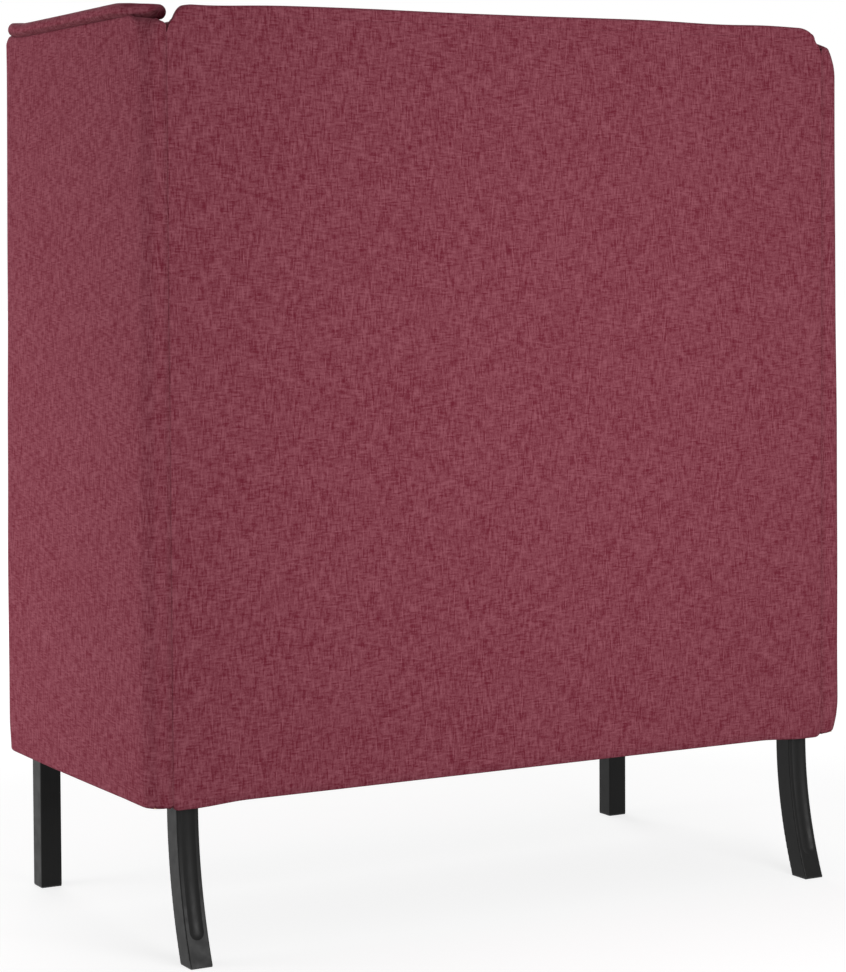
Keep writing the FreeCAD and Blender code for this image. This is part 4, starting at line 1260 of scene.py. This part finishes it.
def grown(name, lines, group, sizes):
    """Runs a node group on closed or open lines of points and hands back the plain mesh."""
    points = []
    edges = []
    for line, closed in lines:
        first = len(points)
        points += [tuple(point) for point in line]
        edges += [(first + index, first + index + 1) for index in range(len(line) - 1)]
        if closed:
            edges.append((first + len(line) - 1, first))
    path = bpy.data.meshes.new(name + "_path")
    path.from_pydata(points, edges, [])
    carrier = bpy.data.objects.new(name + "_carrier", path)
    grower = carrier.modifiers.new("grow", "NODES")
    grower.node_group = group
    for item in group.interface.items_tree:
        if item.in_out == "INPUT" and item.name in sizes:
            grower[item.identifier] = sizes[item.name]
    scene.collection.objects.link(carrier)
    mesh = bpy.data.meshes.new_from_object(carrier.evaluated_get(bpy.context.evaluated_depsgraph_get()))
    carrier.modifiers.clear()
    bpy.data.objects.remove(carrier)
    mesh.name = name
    return mesh


print("piping group ready")

# %% The cushion's piping
PIPING_RADIUS = 0.0038
PIPING_INSET = 0.0024
PIPING_RISE = 0.0015
PIPING_SPACING = 0.006
seams = [
    (at_height(cushion_plan(PIPING_INSET), top_seam + PIPING_RISE), True),
    (at_height(cushion_plan(PIPING_INSET), bottom_seam), True),
]
piping_sizes = {"Radius": PIPING_RADIUS, "Spacing": PIPING_SPACING}
piping_mesh = grown("cushion_piping", seams, piping_group(wine_cloth), piping_sizes)
piping_mesh.shade_smooth()
lay_cloth(piping_mesh)
piping = add_piece("cushion_piping", piping_mesh, wine_cloth, "seat_cushion")
print(piping.name, len(piping_mesh.polygons), "faces")

# %% [markdown]
# ## The deck under the cushion
#
# A thin pad in black lining covers the springs. It shows only when the cushion is lifted off, apart from
# its front corners. So its front strip is faced with the wine cloth, as upholsterers do.

# %% The seat deck
deck_low, deck_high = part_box("seat_deck_pad")
DECK_EDGE = 0.004
DECK_FACING = 0.075
DECK_SAG = 0.0015
DECK_SAG_SIZE = 0.12
DECK_SPACING = 0.02


def deck_ring(x):
    """Section of the deck at one place across: back along the underside, then forward along the top."""
    side_fall = edge_fall(deck_high.x - abs(x), DECK_EDGE)
    upper = []
    lower = []
    for y in stations(deck_low.y, deck_high.y, DECK_EDGE, DECK_SPACING):
        fall = max(side_fall, edge_fall(min(y - deck_low.y, deck_high.y - y), DECK_EDGE))
        uneven = 1 + noise.noise(Vector((x, y, 0.0)) / DECK_SAG_SIZE)
        sag = DECK_SAG * uneven * fullness(0.5 + 0.5 * x / deck_high.x)
        upper.append((x, y, deck_high.z - fall - sag))
        lower.append((x, y, deck_low.z))
    return lower + upper[::-1]


rings = [deck_ring(x) for x in stations(-deck_high.x, deck_high.x, DECK_EDGE, DECK_SPACING)]
deck_mesh = skin_mesh("seat_deck_cloth", rings)
add_cover("seat_deck_cloth", deck_mesh, ["seat_deck_pad"], material=black_lining)
deck_mesh.materials.append(wine_cloth)
for face in deck_mesh.polygons:
    face.material_index = int(face.center.y < deck_low.y + DECK_FACING)

# %% [markdown]
# ## The dust cloth and its staples
#
# The underside is closed by a thin black cloth, cut out round the legs, pulled tight and stapled to the
# frame. The cloth is a grid with the leg holes left open, given a little thickness. Between the rails it
# sags by two millimetres. The staples repeat along its edges, so Geometry Nodes set them out.

# %% The dust cloth
dust_low, dust_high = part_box("dust_cover")
LEG_GAP = 0.001
DUST_THICK = 0.0006
DUST_GAP = 0.0003
DUST_SPACING = 0.02
DUST_SAG = 0.002
DUST_SAG_START = 0.05
DUST_SAG_REACH = 0.12
DUST_WAVE_SIZE = 0.1
DUST_WAVE_DEPTH = 0.0006
DUST_WAVE_REACH = 0.06
legs = [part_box(stem + hand) for stem in ("front_leg_", "rear_leg_") for hand in ("right", "left")]


def leg_holes():
    """Low and high corners of the holes, round the square top of each leg."""
    holes = []
    for low, high in legs:
        side = high.x - low.x
        holes.append((low.x - LEG_GAP, low.y - LEG_GAP, high.x + LEG_GAP, low.y + side + LEG_GAP))
    return holes


def grid_lines(low, high, stops, spacing):
    """Lines from low to high that include every stop."""
    marks = sorted({low, high, *[stop for stop in stops if low < stop < high]})
    lines = []
    for start, end in zip(marks, marks[1:]):
        lines += list(np.linspace(start, end, max(1, round((end - start) / spacing)), endpoint=False))
    return lines + [high]


def dust_mesh():
    """The cloth as a grid with its leg holes: returns the mesh and its area."""
    holes = leg_holes()
    stops_x = [edge for hole in holes for edge in (hole[0], hole[2])]
    stops_y = [edge for hole in holes for edge in (hole[1], hole[3])]
    xs = grid_lines(dust_low.x, dust_high.x, stops_x, DUST_SPACING)
    ys = grid_lines(dust_low.y, dust_high.y, stops_y, DUST_SPACING)
    shape = bmesh.new()
    rows = []
    for x in xs:
        row = []
        for y in ys:
            inward = min(dust_high.x - abs(x), y - dust_low.y, dust_high.y - y)
            wave = waviness(x, y, 0.0, DUST_WAVE_SIZE, DUST_WAVE_DEPTH) * ease(inward / DUST_WAVE_REACH)
            sag = DUST_SAG * ease((inward - DUST_SAG_START) / DUST_SAG_REACH) + wave
            row.append(shape.verts.new((x, y, dust_high.z - DUST_GAP - sag)))
        rows.append(row)
    for i in range(len(xs) - 1):
        for j in range(len(ys) - 1):
            x = (xs[i] + xs[i + 1]) / 2
            y = (ys[j] + ys[j + 1]) / 2
            if not any(left < x < right and front < y < rear for left, front, right, rear in holes):
                shape.faces.new((rows[i][j], rows[i][j + 1], rows[i + 1][j + 1], rows[i + 1][j]))
    loose = [vertex for vertex in shape.verts if not vertex.link_faces]
    bmesh.ops.delete(shape, geom=loose, context="VERTS")
    area = sum(face.calc_area() for face in shape.faces)
    mesh = bpy.data.meshes.new("dust_cloth")
    shape.to_mesh(mesh)
    shape.free()
    return mesh, area


dust_flat, dust_area = dust_mesh()
dust = add_piece("dust_cloth", dust_flat, black_lining)
backing = dust.modifiers.new("thickness", "SOLIDIFY")
backing.thickness = DUST_THICK
backing.offset = 0.0
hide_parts("dust_cover")
print(dust.name, round(dust_area, 3), "square metres")

# %% A node group for staples
def staple_group(material):
    """Staples along a line: a short round wire lying across every so many metres."""
    group, given, output = new_group("staples", [("Spacing", 0.05), ("Crown", 0.010), ("Wire", 0.0012)])
    line = add_node(group, "GeometryNodeMeshToCurve", [("Mesh", given.outputs["Geometry"])])
    inputs = [("Curve", line.outputs["Curve"]), ("Length", given.outputs["Spacing"])]
    spots = add_node(group, "GeometryNodeCurveToPoints", inputs, mode="LENGTH")
    inputs = [(0, given.outputs["Wire"]), (1, 0.5)]
    half_wire = add_node(group, "ShaderNodeMath", inputs, operation="MULTIPLY")
    inputs = [("Vertices", 6), ("Radius", half_wire.outputs[0]), ("Depth", given.outputs["Crown"])]
    wire = add_node(group, "GeometryNodeMeshCylinder", inputs)
    inputs = [
        ("Points", spots.outputs["Points"]), ("Instance", wire.outputs["Mesh"]),
        ("Rotation", spots.outputs["Rotation"])]
    placed = add_node(group, "GeometryNodeInstanceOnPoints", inputs)
    close_group(group, output, placed.outputs["Instances"], material)
    return group


print("staple group ready")

# %% The staples
STAPLE_INSET = 0.008
STAPLE_DEPTH = 0.0009
STAPLE_SPACING = 0.045
staple_z = dust_high.z - STAPLE_DEPTH
left_x = dust_low.x + STAPLE_INSET
right_x = dust_high.x - STAPLE_INSET
front_y = dust_low.y + STAPLE_INSET
rear_y = dust_high.y - STAPLE_INSET
leg_room = legs[0][1].x - legs[0][0].x
staple_lines = [
    ([(left_x + 2 * leg_room, front_y, staple_z), (right_x - 2 * leg_room, front_y, staple_z)], False),
    ([(left_x + 2 * leg_room, rear_y, staple_z), (right_x - 2 * leg_room, rear_y, staple_z)], False),
    ([(left_x, front_y + 2 * leg_room, staple_z), (left_x, rear_y - 3 * leg_room, staple_z)], False),
    ([(right_x, front_y + 2 * leg_room, staple_z), (right_x, rear_y - 3 * leg_room, staple_z)], False),
]
staple_sizes = {"Spacing": STAPLE_SPACING}
staple_mesh = grown("dust_cloth_staples", staple_lines, staple_group(zinc_steel), staple_sizes)
staples = add_piece("dust_cloth_staples", staple_mesh, zinc_steel)
print(staples.name, len(staple_mesh.polygons), "faces")

# %% [markdown]
# ## Floor, world and light
#
# The studio is white: the world looks white to the camera whatever the lamps do. The floor is part pale
# paint, which takes the shadow, and part glow, which is a little stronger further from the sofa, so that the
# shadow fades into white. Three large soft boxes face the outer wing, the outer back and the seat, at a
# level where a colour renders about as it is written.

# %% The floor
FLOOR_BOUNCE = 0.4
FLOOR_LOOK = 0.85
GLOW_SHARE = 0.6
GLOW_NEAR = 1.0
GLOW_FAR = 2.6
GLOW_LOW = 1.28
GLOW_HIGH = 1.6


def floor_finish():
    """Part pale paint and part glow to the camera, and a darker paint to the light that bounces."""
    material, tree, shader = new_finish("studio_floor")
    shader.inputs["Roughness"].default_value = 0.9
    shader.inputs["Specular IOR Level"].default_value = 0.0
    rays = add_node(tree, "ShaderNodeLightPath")
    seen = add_node(
        tree, "ShaderNodeMath", [(0, rays.outputs["Is Camera Ray"]), (1, rays.outputs["Is Glossy Ray"])],
        operation="MAXIMUM")
    grey = from_range(tree, seen.outputs[0], 0.0, 1.0, FLOOR_BOUNCE, FLOOR_LOOK)
    tree.links.new(grey, shader.inputs["Base Color"])
    share = add_node(tree, "ShaderNodeMath", [(0, seen.outputs[0]), (1, GLOW_SHARE)], operation="MULTIPLY")
    place = add_node(tree, "ShaderNodeTexCoord").outputs["Object"]
    away = add_node(tree, "ShaderNodeVectorMath", [(0, place)], operation="LENGTH").outputs["Value"]
    glow = from_range(tree, away, GLOW_NEAR, GLOW_FAR, GLOW_LOW, GLOW_HIGH)
    white = add_node(tree, "ShaderNodeEmission", [("Color", (1.0, 1.0, 1.0, 1.0)), ("Strength", glow)])
    inputs = [(0, share.outputs[0]), (1, shader.outputs["BSDF"]), (2, white.outputs["Emission"])]
    mixed = add_node(tree, "ShaderNodeMixShader", inputs)
    tree.links.new(mixed.outputs["Shader"], tree.nodes["Material Output"].inputs["Surface"])
    return material


FLOOR_HALF = 40.0
floor_mesh = bpy.data.meshes.new("floor")
floor_corners = [(-FLOOR_HALF, -FLOOR_HALF, 0.0), (FLOOR_HALF, -FLOOR_HALF, 0.0),
                 (FLOOR_HALF, FLOOR_HALF, 0.0), (-FLOOR_HALF, FLOOR_HALF, 0.0)]
floor_mesh.from_pydata(floor_corners, [], [(0, 1, 2, 3)])
floor_mesh.materials.append(floor_finish())
floor = bpy.data.objects.new("floor", floor_mesh)
scene.collection.objects.link(floor)
print("floor", 2 * FLOOR_HALF, "m wide")

# %% The world and the lamps
WORLD_LIGHT = 0.33


def white_world():
    """White to the camera and in reflections, softer as a light."""
    world = bpy.data.worlds.new("studio")
    world.use_nodes = True
    tree = world.node_tree
    rays = add_node(tree, "ShaderNodeLightPath")
    inputs = [(0, rays.outputs["Is Glossy Ray"]), (1, rays.outputs["Is Transmission Ray"])]
    mirrored = add_node(tree, "ShaderNodeMath", inputs, operation="MAXIMUM")
    inputs = [(0, rays.outputs["Is Camera Ray"]), (1, mirrored.outputs[0])]
    seen = add_node(tree, "ShaderNodeMath", inputs, operation="MAXIMUM")
    strength = from_range(tree, seen.outputs[0], 0.0, 1.0, WORLD_LIGHT, 1.0)
    background = tree.nodes["Background"]
    background.inputs["Color"].default_value = (1.0, 1.0, 1.0, 1.0)
    tree.links.new(strength, background.inputs["Strength"])
    scene.world = world


def soft_box(name, place, target, width, height, watts):
    """A large rectangular lamp that faces a target."""
    lamp = bpy.data.lights.new(name, "AREA")
    lamp.shape = "RECTANGLE"
    lamp.size = width
    lamp.size_y = height
    lamp.energy = watts
    holder = bpy.data.objects.new(name, lamp)
    holder.location = place
    holder.rotation_mode = "QUATERNION"
    holder.rotation_quaternion = (Vector(place) - Vector(target)).to_track_quat("Z", "Y")
    scene.collection.objects.link(holder)


white_world()
soft_box("wing_box", (2.7, -0.6, 0.45), (0.5, 0.0, 0.6), 1.4, 0.9, 35.0)
soft_box("back_box", (-0.15, 2.05, 0.85), (-0.1, 0.2, 0.8), 1.1, 0.8, 23.5)
soft_box("front_box", (-0.6, -4.2, 2.6), (0.0, 0.0, 0.6), 2.6, 2.2, 80.0)
print("world and soft boxes ready")

# %% [markdown]
# ## The camera
#
# The picture is taken from behind, on the side of the wing that is the right-hand one from the front. The
# camera stands at about three quarters of the sofa's height and has a long lens. A large lens shift alone
# would keep the uprights upright, but it would push the sofa out of the frame when it is seen from
# elsewhere. So the camera looks down by two and a half degrees, and a small shift does the rest. Its place
# comes from the corners of the sofa in the picture.

# %% The camera
CAMERA_PLACE = (1.9472, 3.4619, 0.9256)
CAMERA_AZIMUTH = math.radians(150.617)
CAMERA_ELEVATION = math.radians(2.453)
CAMERA_ROLL = math.radians(-0.3038)
LENS_MM = 100.03
SENSOR_MM = 36.0
SHIFT_UP = -0.1193


def photograph_camera():
    """Sets up the camera from its place, its three angles, its lens and its shift."""
    level = math.cos(CAMERA_ELEVATION)
    back = Vector((
        math.sin(CAMERA_AZIMUTH) * level, -math.cos(CAMERA_AZIMUTH) * level, math.sin(CAMERA_ELEVATION)))
    right = Vector((0.0, 0.0, 1.0)).cross(back).normalized()
    up = back.cross(right)
    rolled_right = right * math.cos(CAMERA_ROLL) + up * math.sin(CAMERA_ROLL)
    rolled_up = up * math.cos(CAMERA_ROLL) - right * math.sin(CAMERA_ROLL)
    camera = bpy.data.objects.new("camera", bpy.data.cameras.new("camera"))
    turn = Matrix((rolled_right, rolled_up, back)).transposed().to_4x4()
    camera.matrix_world = Matrix.Translation(CAMERA_PLACE) @ turn
    camera.data.lens = LENS_MM
    camera.data.sensor_width = SENSOR_MM
    camera.data.shift_y = SHIFT_UP
    scene.collection.objects.link(camera)
    scene.camera = camera


photograph_camera()
scene.view_settings.view_transform = "Standard"
print("camera at", CAMERA_PLACE)
